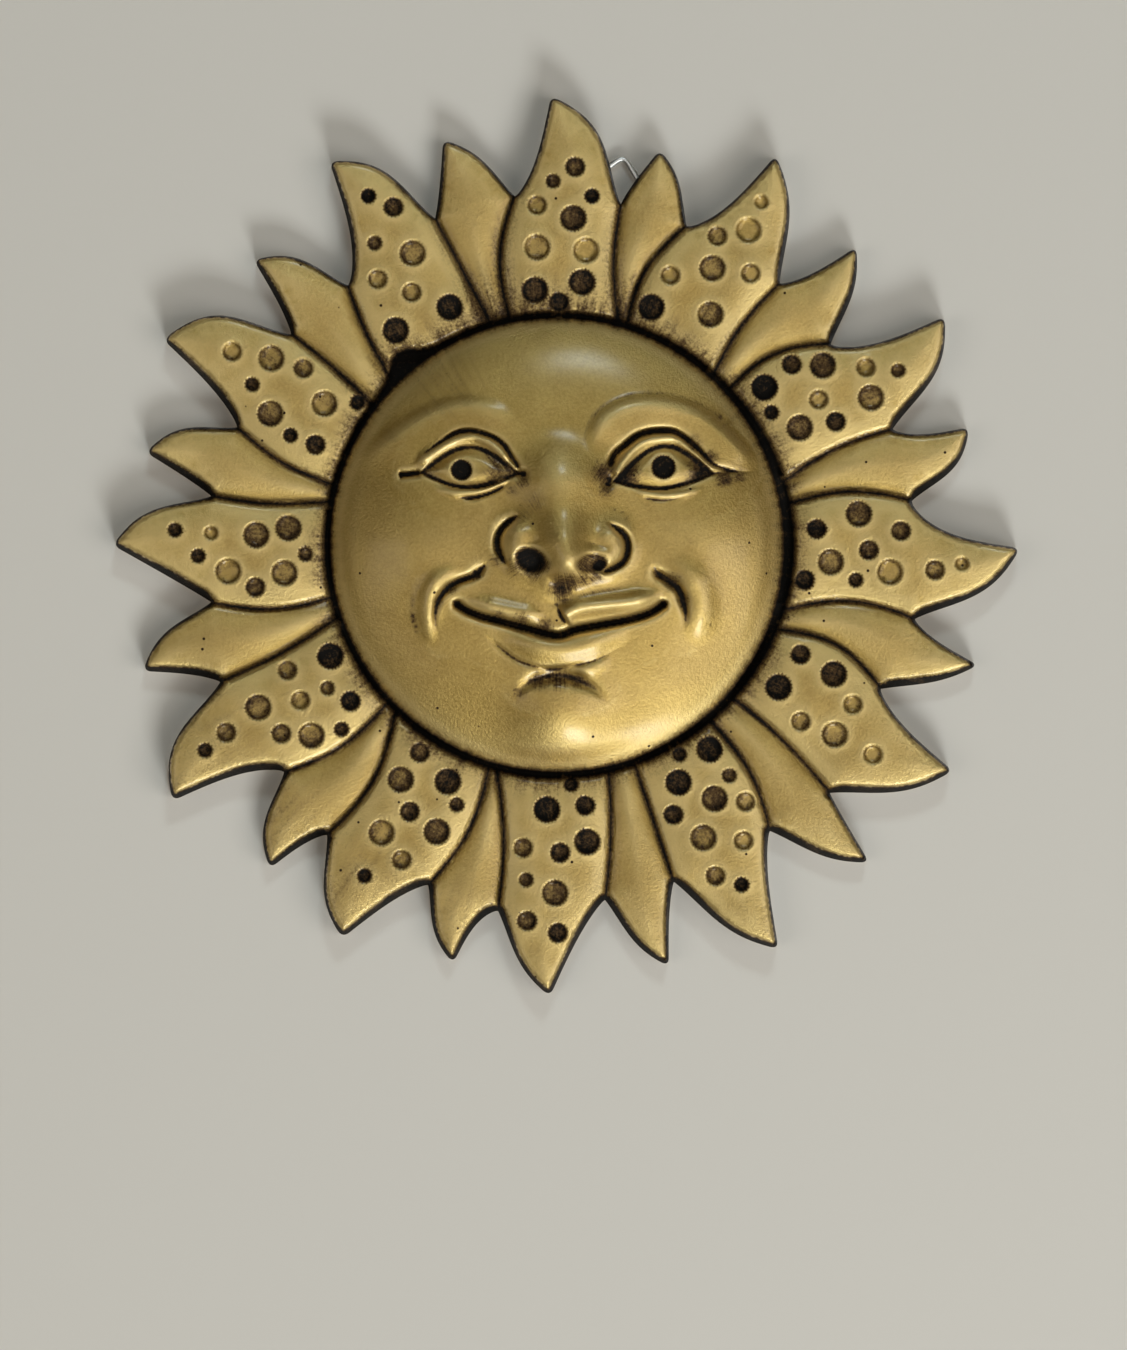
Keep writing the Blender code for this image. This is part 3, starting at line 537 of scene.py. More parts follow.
# Distances to the outline and to the nearest seam, and the width of the side wall there. Each
# sector of the sun looks only at its own ray and its neighbours.
def edgeDistances(x, z):
    count = len(rays)
    sector = np.round(np.arctan2(x, z) / (2 * math.pi / count)).astype(int) % count
    free, seam, wall = (np.full(np.shape(x), 99.0) for _ in range(3))
    for index in range(count):
        mine = sector == index
        if not mine.any():
            continue
        around = np.arange((index - 1) * perRay, (index + 2) * perRay + 1) % len(outline)
        free[mine], share = distanceTo(outline[around], x[mine], z[mine])
        along = np.concatenate([[0], np.cumsum(np.hypot(*np.diff(outline[around], axis=0).T))])
        wall[mine] = np.interp(share * along[-1], along, outlineWalls[around])
        near = [seams[(index + step) % count] for step in (-2, -1, 0, 1)]
        seam[mine] = np.min([distanceTo(line, x[mine], z[mine])[0] for line in near], axis=0)
    return free, seam, wall


# Whether each place lies on a plain ray, between its two seams and its tip.
def onPlainRay(x, z):
    plain = np.zeros(np.shape(x), dtype=bool)
    for index in range(1, len(rays), 2):
        side = outline[index * perRay:(index + 1) * perRay]
        end = [rays[index]["notch"]]
        plain |= insideOf(np.vstack([seams[index - 1], side, end, seams[index][::-1]]), x, z)
    return plain


# Height of the rays: the lowest of what the turned edge, the seams and the channel leave. Each
# ray is a cushion that falls off towards its sides and its foot as a parabola.
def rayHeight(x, z, free, seam, wall):
    size = sunPlaque
    plain = onPlainRay(x, z)
    root = np.maximum(np.hypot(x, z) - grooveOuter(np.arctan2(x, z)), 0)
    sides = 1 - np.clip(np.minimum(free, seam) / size["cushionWidth"], 0, 1)
    top = np.where(plain, size["plainCrown"], size["dottedCrown"]) + 0.16 * unevenness(x, z, 17)
    top -= size["cushionDrop"] * sides ** 2 + 0.5 * (1 - np.clip(root / 6, 0, 1)) ** 2
    shoulder = np.where(plain, size["plainWallTop"], size["wallTop"])
    rounding = size["edgeRound"]
    edge = np.where(free < wall, shoulder * free / wall, turnedEdge(free - wall, shoulder, top, rounding))
    valley = turnedEdge(seam, size["seamFloor"], top, np.where(plain, 1.8 * rounding, 1.2 * rounding))
    return np.minimum(np.minimum(edge, valley), turnedEdge(root, size["grooveFloor"], top, 1.3 * rounding))


# Each pressed dot is a flat floor with a steep wall and a slight lip around its rim. Its stain lies on the
# floor, and the dark ring at the foot of its wall is partly stain and partly painted shadow.
def pressDots(x, z, height):
    size = sunPlaque
    stainAndShade = np.zeros(np.shape(x))
    for dx, dz, width, dark in dots:
        off = width / 2 - np.hypot(x - dx, z - dz)
        near = off > -1.0
        share = np.clip(off[near] / size["dimpleDraft"], 0, 1)
        depth = size["dimpleDepth"] * (0.7 + 0.4 * dark)
        height[near] += size["dimpleLip"] * soft(off[near] + 0.2, 0.28) - depth * share
        # Dark ring at the foot of the dot's wall: stain and painted shadow
        foot = (0.3 + 0.75 * dark) * soft(off[near] - 0.15, 0.24)
        stainAndShade[near] = np.maximum(stainAndShade[near], np.maximum((0.95 * dark - 0.05) * share, foot))
    return stainAndShade


# Height of the front, and the stain and painted shadow in its dots: the face, the channel's floor and the
# rays.
def surfaceHeight(x, z):
    away = np.hypot(x, z)
    height = np.full(np.shape(x), sunPlaque["grooveFloor"])
    stainAndShade = np.zeros(np.shape(x))
    onRays = away >= grooveOuter(np.arctan2(x, z)) - 1e-4
    rayPart = rayHeight(x[onRays], z[onRays], *edgeDistances(x[onRays], z[onRays]))
    stainAndShade[onRays] = pressDots(x[onRays], z[onRays], rayPart)
    height[onRays] = rayPart
    onFace = away < sunPlaque["faceRadius"]
    height[onFace] = faceHeight(x[onFace], z[onFace])
    return height, stainAndShade


# Bent wire of the hanging loop, in millimetres: its corner shows in the notch right of the top ray.
hangingLoop = {
    "thickness": 0.9, "inset": 0.2, "clearance": 0.3, "cornerRadius": 1.3,
    "rise": 7.5, "leg": 11.4, "rightShare": 0.78, "tail": 8.0,
    "leftSlope": math.radians(36), "rightSlope": math.radians(58),
    "sides": 20, "chamfer": 0.12,
}


# Middle line of the wire: straight legs joined by quadratic curves at the bends.
def loopLine():
    size = hangingLoop
    corner = rays[0]["notch"] + np.array([0.4, size["rise"]])
    left = corner - size["leg"] * np.array([math.cos(size["leftSlope"]), math.sin(size["leftSlope"])])
    right = corner + size["rightShare"] * size["leg"] * np.array(
        [math.cos(size["rightSlope"]), -math.sin(size["rightSlope"])])
    points = [left + size["tail"] * np.array([0.35, -1]), left, corner, right,
              right + size["tail"] * np.array([-0.3, -1])]
    line, t = [points[0]], np.linspace(0, 1, 9)[:, None]
    for before, bend, after in zip(points[:-2], points[1:-1], points[2:]):
        start, end = (bend + size["cornerRadius"] * (to - bend) / np.hypot(*(to - bend))
                      for to in (before, after))
        line += list((1 - t) ** 2 * start + 2 * t * (1 - t) * bend + t ** 2 * end)
    return np.array(line + [points[-1]])


wireMiddle = loopLine()
channelHalf = hangingLoop["thickness"] / 2 + hangingLoop["clearance"]
channelDepth = hangingLoop["inset"] + hangingLoop["thickness"] + hangingLoop["clearance"]


# Depth of the wire's channel in the back: full within its half width, none 0.06 mm further out.
def channelLift(x, z):
    away = nearDistance(wireMiddle, x, z, 2.0)[0]
    return channelDepth * np.clip((channelHalf + 0.04 - away) / 0.03, 0, 1)


# A ring of evenly spaced points, turned by a share of the step between them.
def ringAround(x, z, radius, count, turn=0.0):
    angle = 2 * math.pi * (np.arange(count) + turn) / count
    return np.column_stack([x + radius * np.sin(angle), z + radius * np.cos(angle)])


# The line moved to its right by a distance, along the normal of the chord between neighbours.
def inset(line, distance, closed):
    ahead = np.roll(line, -1, axis=0) if closed else np.vstack([line[1:], 2 * line[-1] - line[-2]])
    behind = np.roll(line, 1, axis=0) if closed else np.vstack([2 * line[0] - line[1], line[:-1]])
    along = ahead - behind
    aside = np.column_stack([along[:, 1], -along[:, 0]])
    return line + distance * aside / np.hypot(*aside.T)[:, None]


# Points of a triangular grid over a rectangle around a middle.
def hexGrid(middle, halfWidth, halfHeight, pitch):
    rows = np.arange(-halfHeight, halfHeight + pitch, pitch * math.sqrt(0.75))
    x, z = np.meshgrid(np.arange(-halfWidth, halfWidth + pitch, pitch), rows)
    x = x + (np.arange(len(rows)) % 2)[:, None] * pitch / 2
    return np.column_stack([x.ravel() + middle[0], z.ravel() + middle[1]])


# Whole number of the square cell that holds each point.
def cellOf(points, size, column=0, row=0):
    cell = np.floor(points / size).astype(np.int64) + 100000
    return (cell[:, 0] + column) * 1000000 + cell[:, 1] + row


# The new points that keep about a gap from all that are there, at most one to a small cell.
def addPoints(kept, new, gap):
    size = 0.62 * gap
    taken = np.unique(cellOf(kept, size))
    clear = np.ones(len(new), dtype=bool)
    for column in (-1, 0, 1):
        for row in (-1, 0, 1):
            clear &= ~np.isin(cellOf(new, size, column, row), taken)
    new = new[clear]
    new = new[np.sort(np.unique(cellOf(new, 0.5 * gap), return_index=True)[1])]
    return np.vstack([kept, new])


# The outline with ten short steps wherever the wire's channel runs out through it.
def meshOutline():
    closed = np.vstack([outline, outline[:1]])
    middles = (closed[1:] + closed[:-1]) / 2
    nearWire = distanceTo(wireMiddle, *middles.T)[0] < cornerRows["nearWire"]
    counts = np.where(nearWire, cornerRows["nearWireSteps"], 1)
    first = np.repeat(np.cumsum(counts) - counts, counts)
    share = (np.arange(counts.sum()) - first) / np.repeat(counts, counts)
    starts, sides = (np.repeat(part, counts, axis=0) for part in (closed[:-1], np.diff(closed, axis=0)))
    return starts + share[:, None] * sides


# Where the front has its corners: rows along every edge, seam, dot and line of the face, then
# grids that are finest where the face is.
def frontPoints(border):
    size, gap = sunPlaque, cornerRows["rowGap"]
    rings = []
    for x, z, width, dark in dots:
        count = int(round(width * 6))
        rings += [ringAround(x, z, width / 2 + out, count, 0.5 * (k % 2))
                  for k, out in enumerate((*cornerRows["dot"], -size["dimpleDraft"]))]
    count = cornerRows["pupilCorners"]
    for eye in sunFace["eyes"]:
        rings += [ringAround(*spot(eye["pupil"]), eye["width"] / 2 + out, count, 0.5 * (k % 2))
                  for k, out in enumerate(cornerRows["pupil"])]
    points = np.vstack([border, *rings])
    points = addPoints(points, np.vstack([line[:-1] for line in seams]), gap)
    rows = [inset(line, side * away, False)[1:-1]
            for line in seams for away in cornerRows["seam"] for side in (-1, 1)]
    points = addPoints(points, np.vstack(rows), gap)
    headings = 2 * math.pi * np.arange(size["ringSteps"]) / size["ringSteps"]
    lip = size["rimLip"]
    radii = [np.full(len(headings), size["faceRadius"] - inward) for inward in (0, lip, 2 * lip)]
    radii += [grooveOuter(headings) + out for out in cornerRows["groove"]]
    for radius in radii:
        ring = np.column_stack([radius * np.sin(headings), radius * np.cos(headings)])
        points = addPoints(points, ring, gap)
    for share, further, wallGap in cornerRows["wall"]:
        depth = share * outlineWalls + further
        ring = inset(outline, depth[:, None], True)
        clear = np.hypot(*ring.T) > size["faceRadius"] + 3 * size["grooveWidth"]
        clear &= edgeDistances(*ring.T)[0] > 0.93 * depth
        points = addPoints(points, ring[clear], wallGap)
    for middle, halfWidth, halfHeight in sunFace["detail"]:
        grid = hexGrid(spot(middle), halfWidth, halfHeight, size["fineGrid"])
        within = np.hypot(*((grid - spot(middle)) / (halfWidth, halfHeight)).T) < 1
        points = addPoints(points, grid[within], 0.8 * size["fineGrid"])
    grid = hexGrid((0, 0), size["faceRadius"], size["faceRadius"], size["faceGrid"])
    grid = grid[np.hypot(*grid.T) < size["faceRadius"] - lip - 0.4 * size["faceGrid"]]
    points = addPoints(points, grid, 0.7 * size["faceGrid"])
    grid = hexGrid((0, 0), size["gridHalf"], size["gridHalf"], size["rayGrid"])
    grid = grid[insideOf(outline, *grid.T)]
    grid = grid[np.hypot(*grid.T) > size["faceRadius"] + 0.2]
    free, seam, wall = edgeDistances(*grid.T)
    return addPoints(points, grid[free > wall + 0.3], 0.7 * size["rayGrid"])


# Delaunay triangles inside the border, whose own points come first.
def triangulate(border, points):
    places = [Vector(place) for place in points.tolist()]
    found = geometry.delaunay_2d_cdt(places, [], [list(range(len(border)))], 1, 1e-6)
    return np.array([tuple(place) for place in found[0]]), np.array([tuple(face) for face in found[2]])


# Mean of each vertex's neighbours, taken several times over.
def smoothed(values, edges, rounds):
    ends = np.concatenate([edges, edges[:, ::-1]])
    degree = np.maximum(np.bincount(ends[:, 0], minlength=len(values)), 1)
    for _ in range(rounds):
        values = np.bincount(ends[:, 0], weights=values[ends[:, 1]], minlength=len(values)) / degree
    return values


# A smooth mesh of faces that all have as many corners. Each of its values lies on the faces or on
# the corners, whichever it has as many of.
def makeObject(name, corners, faces, values=None):
    mesh = bpy.data.meshes.new(name)
    mesh.vertices.add(len(corners))
    mesh.vertices.foreach_set("co", np.asarray(corners, dtype=np.float32).ravel())
    faces = np.asarray(faces, dtype=np.int32)
    mesh.loops.add(faces.size)
    mesh.loops.foreach_set("vertex_index", faces.ravel())
    mesh.polygons.add(len(faces))
    mesh.polygons.foreach_set("loop_start", np.arange(0, faces.size, faces.shape[1], dtype=np.int32))
    mesh.polygons.foreach_set("use_smooth", np.ones(len(faces), dtype=bool))
    mesh.update(calc_edges=True)
    mesh.validate()
    for key, row in (values or {}).items():
        layer = mesh.attributes.new(key, "FLOAT", "FACE" if len(row) == len(faces) else "POINT")
        layer.data.foreach_set("value", np.asarray(row, dtype=np.float32))
    thing = bpy.data.objects.new(name, mesh)
    bpy.context.scene.collection.objects.link(thing)
    return thing


# The edges of triangles, each once.
def edgesOf(faces):
    pairs = np.sort(np.vstack([faces[:, [0, 1]], faces[:, [1, 2]], faces[:, [2, 0]]]), axis=1)
    return np.unique(pairs, axis=0)


# Headings around which the stain and the painted shade lie differently, with their reach in radians: the top,
# the right and the lower left.
stainAndShadeHeadings = ((-0.1, 0.5), (1.6, 0.7), (-2.5, 0.9))


# How dark the stain and the painted shade lie at each place: the darkest of their layers there. The shade
# along the seams is painted shade. The black side walls are partly dark paint and partly painted shade. What
# is added at the right, to the face's rim and to the foot of the rays, is painted shade. It runs furthest out
# at the top.
def stainAndShadeOf(x, z, cavity, dotStainAndShade):
    heading, away = np.arctan2(x, z), np.hypot(x, z)
    root = away - grooveOuter(heading)
    foot = np.maximum(root, 0)
    free, seam, wall = edgeDistances(x, z)
    top, right, lowerLeft = (bellAround(heading, *bell) for bell in stainAndShadeHeadings)
    onRays = {
        "seam": 0.95 * soft(seam, 0.28),
        "beside the seam": (0.8 - 0.25 * ease(away - 48, 10)) * soft(seam, 0.5),
        # Painted shade along the seams, wider and darker at the top
        "shade along the seam": ((0.16 + (0.45 + 0.2 * top) * np.exp(-foot / (5 + 3 * top)))
                                 * soft(seam, 1.3 + 1.3 * top)),
        "foot of the seam": soft(seam, 1.1 + 1.4 * top) * np.exp(-foot / (0.9 + 0.9 * top)),
        # Dark foot of the rays, wider at the right as painted shade
        "foot of the ray": np.exp(-foot / (0.12 + 0.25 * right + 0.3 * top)),
        "shade above the foot": 0.61 * np.exp(-foot / (2.2 + 2.4 * top)),
        "outer half at the lower left": 0.2 * lowerLeft * ease(away - 44, 16),
        # Side walls stained black, partly painted shade where they are wider and face down
        "side wall": 1 - ease(free - wall + 0.05, 0.25),
        "beside the side wall": (0.45 - 0.2 * ease(away - 54, 12)) * soft(free - wall, 0.7),
    }
    stainAndShade = np.where(root > -0.01, np.max(list(onRays.values()), axis=0), 0)
    edge = sunPlaque["faceRadius"] - 0.12
    stainAndShade = np.where((away > edge) & (root < 0.05), 1.0, stainAndShade)
    onFace = {
        # The face's rim, darker at the right as painted shade
        "rim": 0.5 * soft(edge - away, 0.35) + (0.2 + 0.12 * right) * soft(edge - away, 1.8),
        "hollows": 0.95 * np.clip((cavity - 0.08) / 0.24, 0, 1),
        # Listed stain on the face, with some painted shade among the smudges
        "listed stain and painted shade": faceStainAndShade(x, z),
    }
    stainAndShade = np.where(away <= edge, np.max(list(onFace.values()), axis=0), stainAndShade)
    return np.clip(np.maximum(stainAndShade, dotStainAndShade), 0, 1)


# The back's triangles, with the corners that it has along the wire's channel. Its border is the
# front's, and its own corners are counted on from the front's.
def layOutBack(border, frontCount):
    count = len(border)
    inner, outer = channelHalf - 0.01, channelHalf + 0.05
    rows = np.vstack([inset(wireMiddle, aside, False) for aside in (-outer, -inner, 0.0, inner, outer)])
    rows = rows[insideOf(outline, *rows.T)]
    rows = rows[distanceTo(np.vstack([border, border[:1]]), *rows.T)[0] > 0.05]
    back, faces = triangulate(border, np.vstack([border, rows]))
    return back[count:], np.where(faces < count, faces, faces + frontCount - count)[:, ::-1]


# Marks the edge where the side walls meet the flat back, which stays crisp.
def keepCrisp(thing, count):
    ends = np.empty(2 * len(thing.data.edges), dtype=np.int32)
    thing.data.edges.foreach_get("vertices", ends)
    ends = ends.reshape(-1, 2)
    step = np.abs(ends[:, 0] - ends[:, 1])
    crisp = (ends < count).all(axis=1) & ((step == 1) | (step == count - 1))
    thing.data.attributes.new("sharp_edge", "BOOLEAN", "EDGE").data.foreach_set("value", crisp)


# The cast sun: a front that stands over its plan, and the flat back.
def makePlaque():
    border = meshOutline()
    count = len(border)
    plan, faces = triangulate(border, frontPoints(border))
    x, z = plan.T
    onBorder = np.arange(len(plan)) < count
    height, dotStainAndShade = surfaceHeight(x, z)
    height[onBorder] = 0
    lift = channelLift(x, z)
    height = np.where(onBorder, lift, np.maximum(height, lift + 0.25 * (lift > 0)))
    # A place that lies below the mean of what is around it is a hollow, and above it is worn
    level = np.where(onBorder, sunPlaque["wallTop"], height)
    edges = edgesOf(faces)
    near, wide = smoothed(level, edges, 6), smoothed(level, edges, 30)
    cavity = 1.6 * (near - level) + 0.12 * (wide - level)
    stainAndShade = stainAndShadeOf(x, z, np.where(np.hypot(x, z) < sunPlaque["faceRadius"] - 1.2, cavity, 0), dotStainAndShade)
    wear = np.clip(-cavity / 0.3, 0, 1) * (1 - stainAndShade)
    added, backFaces = layOutBack(border, len(plan))
    corners = np.column_stack([np.concatenate([x, added[:, 0]]),
                               -np.concatenate([height, channelLift(*added.T)]),
                               np.concatenate([z, added[:, 1]])]) * mm
    thing = makeObject("sun_plaque_cast", corners, np.vstack([faces, backFaces]), {
        "stainAndShade": np.concatenate([stainAndShade, np.full(len(added), 0.3)]),
        "wear": np.concatenate([wear, np.zeros(len(added))]),
        "bare": np.concatenate([np.zeros(len(faces)), np.ones(len(backFaces))]),
    })
    keepCrisp(thing, count)
    print("cast sun:", len(thing.data.vertices), "vertices,", len(thing.data.polygons), "triangles")
    return thing


# A circle carried along the wire's middle, with chamfered ends closed to a point.
def makeWire():
    size = hangingLoop
    radius, chamfer = size["thickness"] / 2, size["chamfer"]
    steps = np.hypot(*np.diff(wireMiddle, axis=0).T)
    along = np.concatenate([[0], np.cumsum(steps)])
    whole = along[-1]
    stations = np.unique(np.concatenate([along[1:-1], np.linspace(chamfer, whole - chamfer, 70)]))
    stations = np.concatenate([[0, 0], stations, [whole, whole]])
    widths = np.full(len(stations), radius)
    widths[[0, -1]], widths[[1, -2]] = 1e-4, radius - chamfer
    before, middle, after = (np.column_stack([np.interp(stations + step, along, part)
                                              for part in wireMiddle.T]) for step in (-0.2, 0, 0.2))
    ahead = (after - before) / np.hypot(*(after - before).T)[:, None]
    angle = 2 * math.pi * np.arange(size["sides"]) / size["sides"]
    out = widths[:, None] * np.cos(angle)
    x = middle[:, :1] - ahead[:, 1:] * out
    z = middle[:, 1:] + ahead[:, :1] * out
    y = -(size["inset"] + radius) + widths[:, None] * np.sin(angle)
    corners = np.stack([x, y, z], axis=-1).reshape(-1, 3) * mm
    i, j = np.meshgrid(np.arange(len(stations) - 1), np.arange(size["sides"]), indexing="ij")
    i, j, nextJ = i.ravel(), j.ravel(), (j.ravel() + 1) % size["sides"]
    faces = np.column_stack([i, i, i + 1, i + 1]) * size["sides"] + np.column_stack([j, nextJ, nextJ, j])
    return makeObject("hanging_loop_wire", corners, faces)


plaque = makePlaque()
wire = makeWire()
print("wire made:", len(wire.data.polygons), "faces")


# Gives a node its inputs; one that is a socket is linked, any other is set.
def feed(tree, node, inputs):
    for key, value in inputs.items():
        if isinstance(value, bpy.types.NodeSocket):
            tree.links.new(value, node.inputs[key])
        else:
            node.inputs[key].default_value = value


def addNode(tree, kind, inputs=None, **settings):
    node = tree.nodes.new(kind)
    for key, value in settings.items():
        setattr(node, key, value)
    feed(tree, node, inputs or {})
    return node


def calculate(tree, operation, first, second=0.0, clamp=False):
    node = addNode(tree, "ShaderNodeMath", {0: first, 1: second}, operation=operation, use_clamp=clamp)
    return node.outputs[0]


def plus(tree, first, second, clamp=False):
    return calculate(tree, "ADD", first, second, clamp)


def times(tree, first, second):
    return calculate(tree, "MULTIPLY", first, second)


# Sockets 0, 6 and 7 of a Mix node are its factor and its two colours, and 2 is the mixed colour.
def mixColours(tree, share, first, second):
    return addNode(tree, "ShaderNodeMix", {0: share, 6: first, 7: second}, data_type="RGBA").outputs[2]


# A value mapped smoothly from the range low to high onto 0 to 1, or onto another range.
def rangeOf(tree, value, low, high, start=0.0, end=1.0):
    node = addNode(tree, "ShaderNodeMapRange", {"Value": value, "From Min": low, "From Max": high,
                                                "To Min": start, "To Max": end},
                   interpolation_type="SMOOTHSTEP")
    return node.outputs["Result"]


def noise(tree, place, scale, detail=4.0, roughness=0.55):
    node = addNode(tree, "ShaderNodeTexNoise", {"Vector": place, "Scale": scale, "Detail": detail,
                                                "Roughness": roughness})
    return node.outputs["Fac"]


# Hand-finished surface: slow blotches, fine grain and rare specks, each from 0 to 1, for patterns
# a few millimetres, a few tenths and a few tenths across.
def makeGrainGroup():
    group = bpy.data.node_groups.new("handGrain", "ShaderNodeTree")
    for name, kind in (("Place", "NodeSocketVector"), ("Blotch Scale", "NodeSocketFloat"),
                       ("Grain Scale", "NodeSocketFloat"), ("Speck Scale", "NodeSocketFloat")):
        group.interface.new_socket(name, in_out="INPUT", socket_type=kind)
    for name in ("Blotch", "Grain", "Specks"):
        group.interface.new_socket(name, in_out="OUTPUT", socket_type="NodeSocketFloat")
    given = group.nodes.new("NodeGroupInput").outputs
    blotch = rangeOf(group, noise(group, given["Place"], given["Blotch Scale"], 5.0), 0.3, 0.7)
    grain = noise(group, given["Place"], given["Grain Scale"], 6.0, 0.65)
    cells = addNode(group, "ShaderNodeTexVoronoi", {"Vector": given["Place"], "Scale": given["Speck Scale"]})
    chosen = calculate(group, "GREATER_THAN", addNode(
        group, "ShaderNodeSeparateColor", {0: cells.outputs["Color"]}).outputs[0], 0.72)
    specks = times(group, rangeOf(group, cells.outputs["Distance"], 0.05, 0.1, 1.0, 0.0), chosen)
    made = group.nodes.new("NodeGroupOutput").inputs
    for name, value in (("Blotch", blotch), ("Grain", grain), ("Specks", specks)):
        group.links.new(value, made[name])
    return group


grainGroup = makeGrainGroup()

# Colours are linear
goldPaint = {
    "light": (0.61, 0.422, 0.132, 1), "dull": (0.40, 0.266, 0.068, 1), "rubbed": (0.76, 0.58, 0.24, 1),
    "brown": (0.110, 0.062, 0.024, 1), "black": (0.006, 0.005, 0.004, 1), "bare": (0.50, 0.43, 0.33, 1),
    "metallic": 0.85, "roughness": 0.37, "bump": 0.45, "bumpDepth": 0.0003,
    "coat": 0.55, "coatRoughness": 0.22, "specular": 0.12,
    "blotchScale": 150.0, "grainScale": 2300.0, "speckScale": 330.0,
    "streakScale": 900.0, "streakShare": 0.10,
}


def newMaterial(name):
    material = bpy.data.materials.new(name)
    material.use_nodes = True
    tree = material.node_tree
    shader = tree.nodes["Principled BSDF"]
    place = addNode(tree, "ShaderNodeTexCoord").outputs["Object"]
    return material, tree, shader, place


def handGrain(tree, place, look):
    return addNode(tree, "ShaderNodeGroup", {
        "Place": place, "Blotch Scale": look["blotchScale"], "Grain Scale": look["grainScale"],
        "Speck Scale": look["speckScale"],
    }, node_tree=grainGroup).outputs


def grainBump(tree, grain, look):
    return addNode(tree, "ShaderNodeBump", {"Strength": look["bump"], "Distance": look["bumpDepth"],
                                            "Height": grain["Grain"]}).outputs["Normal"]


def attribute(tree, name):
    return addNode(tree, "ShaderNodeAttribute", attribute_name=name).outputs["Fac"]


# Brush marks that run out from the middle: noise over the arc at the face's edge and a small
# share of the distance from the middle.
def radialStreaks(tree, place):
    parts = addNode(tree, "ShaderNodeSeparateXYZ", {0: place}).outputs
    heading = calculate(tree, "ARCTAN2", parts["X"], parts["Z"])
    away = calculate(tree, "SQRT", plus(tree, times(tree, parts["X"], parts["X"]),
                                        times(tree, parts["Z"], parts["Z"])))
    around = addNode(tree, "ShaderNodeCombineXYZ", {
        0: times(tree, heading, sunPlaque["faceRadius"] * mm),
        1: times(tree, away, goldPaint["streakShare"])}).outputs[0]
    return noise(tree, around, goldPaint["streakScale"], 4.0, 0.6)


# Antique gold: metallic paint in two tones, rubbed brighter on the high places, under a stain and painted
# shade that go from brown to nearly black. The back shows the bare casting.
def makeGold():
    look = goldPaint
    material, tree, shader, place = newMaterial("antique gold paint")
    grain = handGrain(tree, place, look)
    given, bare = attribute(tree, "stainAndShade"), attribute(tree, "bare")
    uneven = plus(tree, times(tree, grain["Grain"], 0.55), times(tree, radialStreaks(tree, place), 0.45))
    uneven = times(tree, calculate(tree, "SUBTRACT", uneven, 0.5), rangeOf(tree, given, 0.0, 0.3, 0.25, 1.9))
    lie = times(tree, plus(tree, given, uneven), rangeOf(tree, given, 0.0, 0.05))
    lie = calculate(tree, "MAXIMUM", lie, times(tree, grain["Specks"], 0.8), clamp=True)
    tone = plus(tree, times(tree, grain["Blotch"], 0.45),
                times(tree, rangeOf(tree, grain["Grain"], 0.3, 0.7), 0.55))
    gold = mixColours(tree, tone, look["dull"], look["light"])
    gold = mixColours(tree, times(tree, attribute(tree, "wear"), 0.8), gold, look["rubbed"])
    stained = mixColours(tree, rangeOf(tree, lie, 0.06, 0.66), gold, look["brown"])
    stained = mixColours(tree, rangeOf(tree, lie, 0.5, 0.95), stained, look["black"])
    casting = mixColours(tree, times(tree, tone, 0.5), look["bare"], look["brown"])
    metal = rangeOf(tree, lie, 0.3, 0.9, look["metallic"], 0.1)
    rough = plus(tree, look["roughness"], times(tree, calculate(tree, "SUBTRACT", grain["Grain"], 0.5), 0.22))
    rough = plus(tree, rough, rangeOf(tree, lie, 0.1, 0.8, 0.0, 0.35))
    feed(tree, shader, {
        "Base Color": mixColours(tree, bare, stained, casting),
        "Metallic": times(tree, metal, calculate(tree, "SUBTRACT", 1.0, bare)),
        "Roughness": plus(tree, rough, times(tree, bare, 0.35), clamp=True),
        "Specular IOR Level": look["specular"],
        "Coat Weight": rangeOf(tree, lie, 0.2, 0.8, look["coat"], 0.0),
        "Coat Roughness": look["coatRoughness"],
        "Normal": grainBump(tree, grain, look),
    })
    return material


steelWire = {
    "light": (0.92, 0.92, 0.90, 1), "dull": (0.66, 0.66, 0.64, 1),
    "roughness": 0.3, "bump": 0.1, "bumpDepth": 0.0001,
    "blotchScale": 260.0, "grainScale": 5200.0, "speckScale": 700.0,
}


# Drawn steel: nearly even grey metal with fine drawing marks and duller patches.
def makeSteel():
    look = steelWire
    material, tree, shader, place = newMaterial("drawn steel")
    grain = handGrain(tree, place, look)
    tint = calculate(tree, "MAXIMUM", times(tree, grain["Blotch"], 0.5), grain["Specks"])
    feed(tree, shader, {
        "Base Color": mixColours(tree, tint, look["light"], look["dull"]),
        "Metallic": 1.0,
        "Roughness": plus(tree, look["roughness"], times(tree, grain["Grain"], 0.2)),
        "Normal": grainBump(tree, grain, look),
    })
    return material


plaque.data.materials.append(makeGold())
wire.data.materials.append(makeSteel())
for thing, node, slot in ((plaque, "sun_plaque", "antique_gold"), (wire, "hanging_loop", "steel_wire")):
    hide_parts(node)
    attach(thing, "root")

# Wall right behind the back and floor below, each a pale plane. Both are clear from behind and let
# the light behind them through, so that the back of the plaque can be looked at.
room = {
    "wallBehind": 0.0004, "floorBelow": -1.8, "half": 3.0,
    "pale": (0.72, 0.69, 0.64, 1), "air": (0.070, 0.058, 0.038, 1), "seenAir": (0.50, 0.48, 0.45, 1),
}


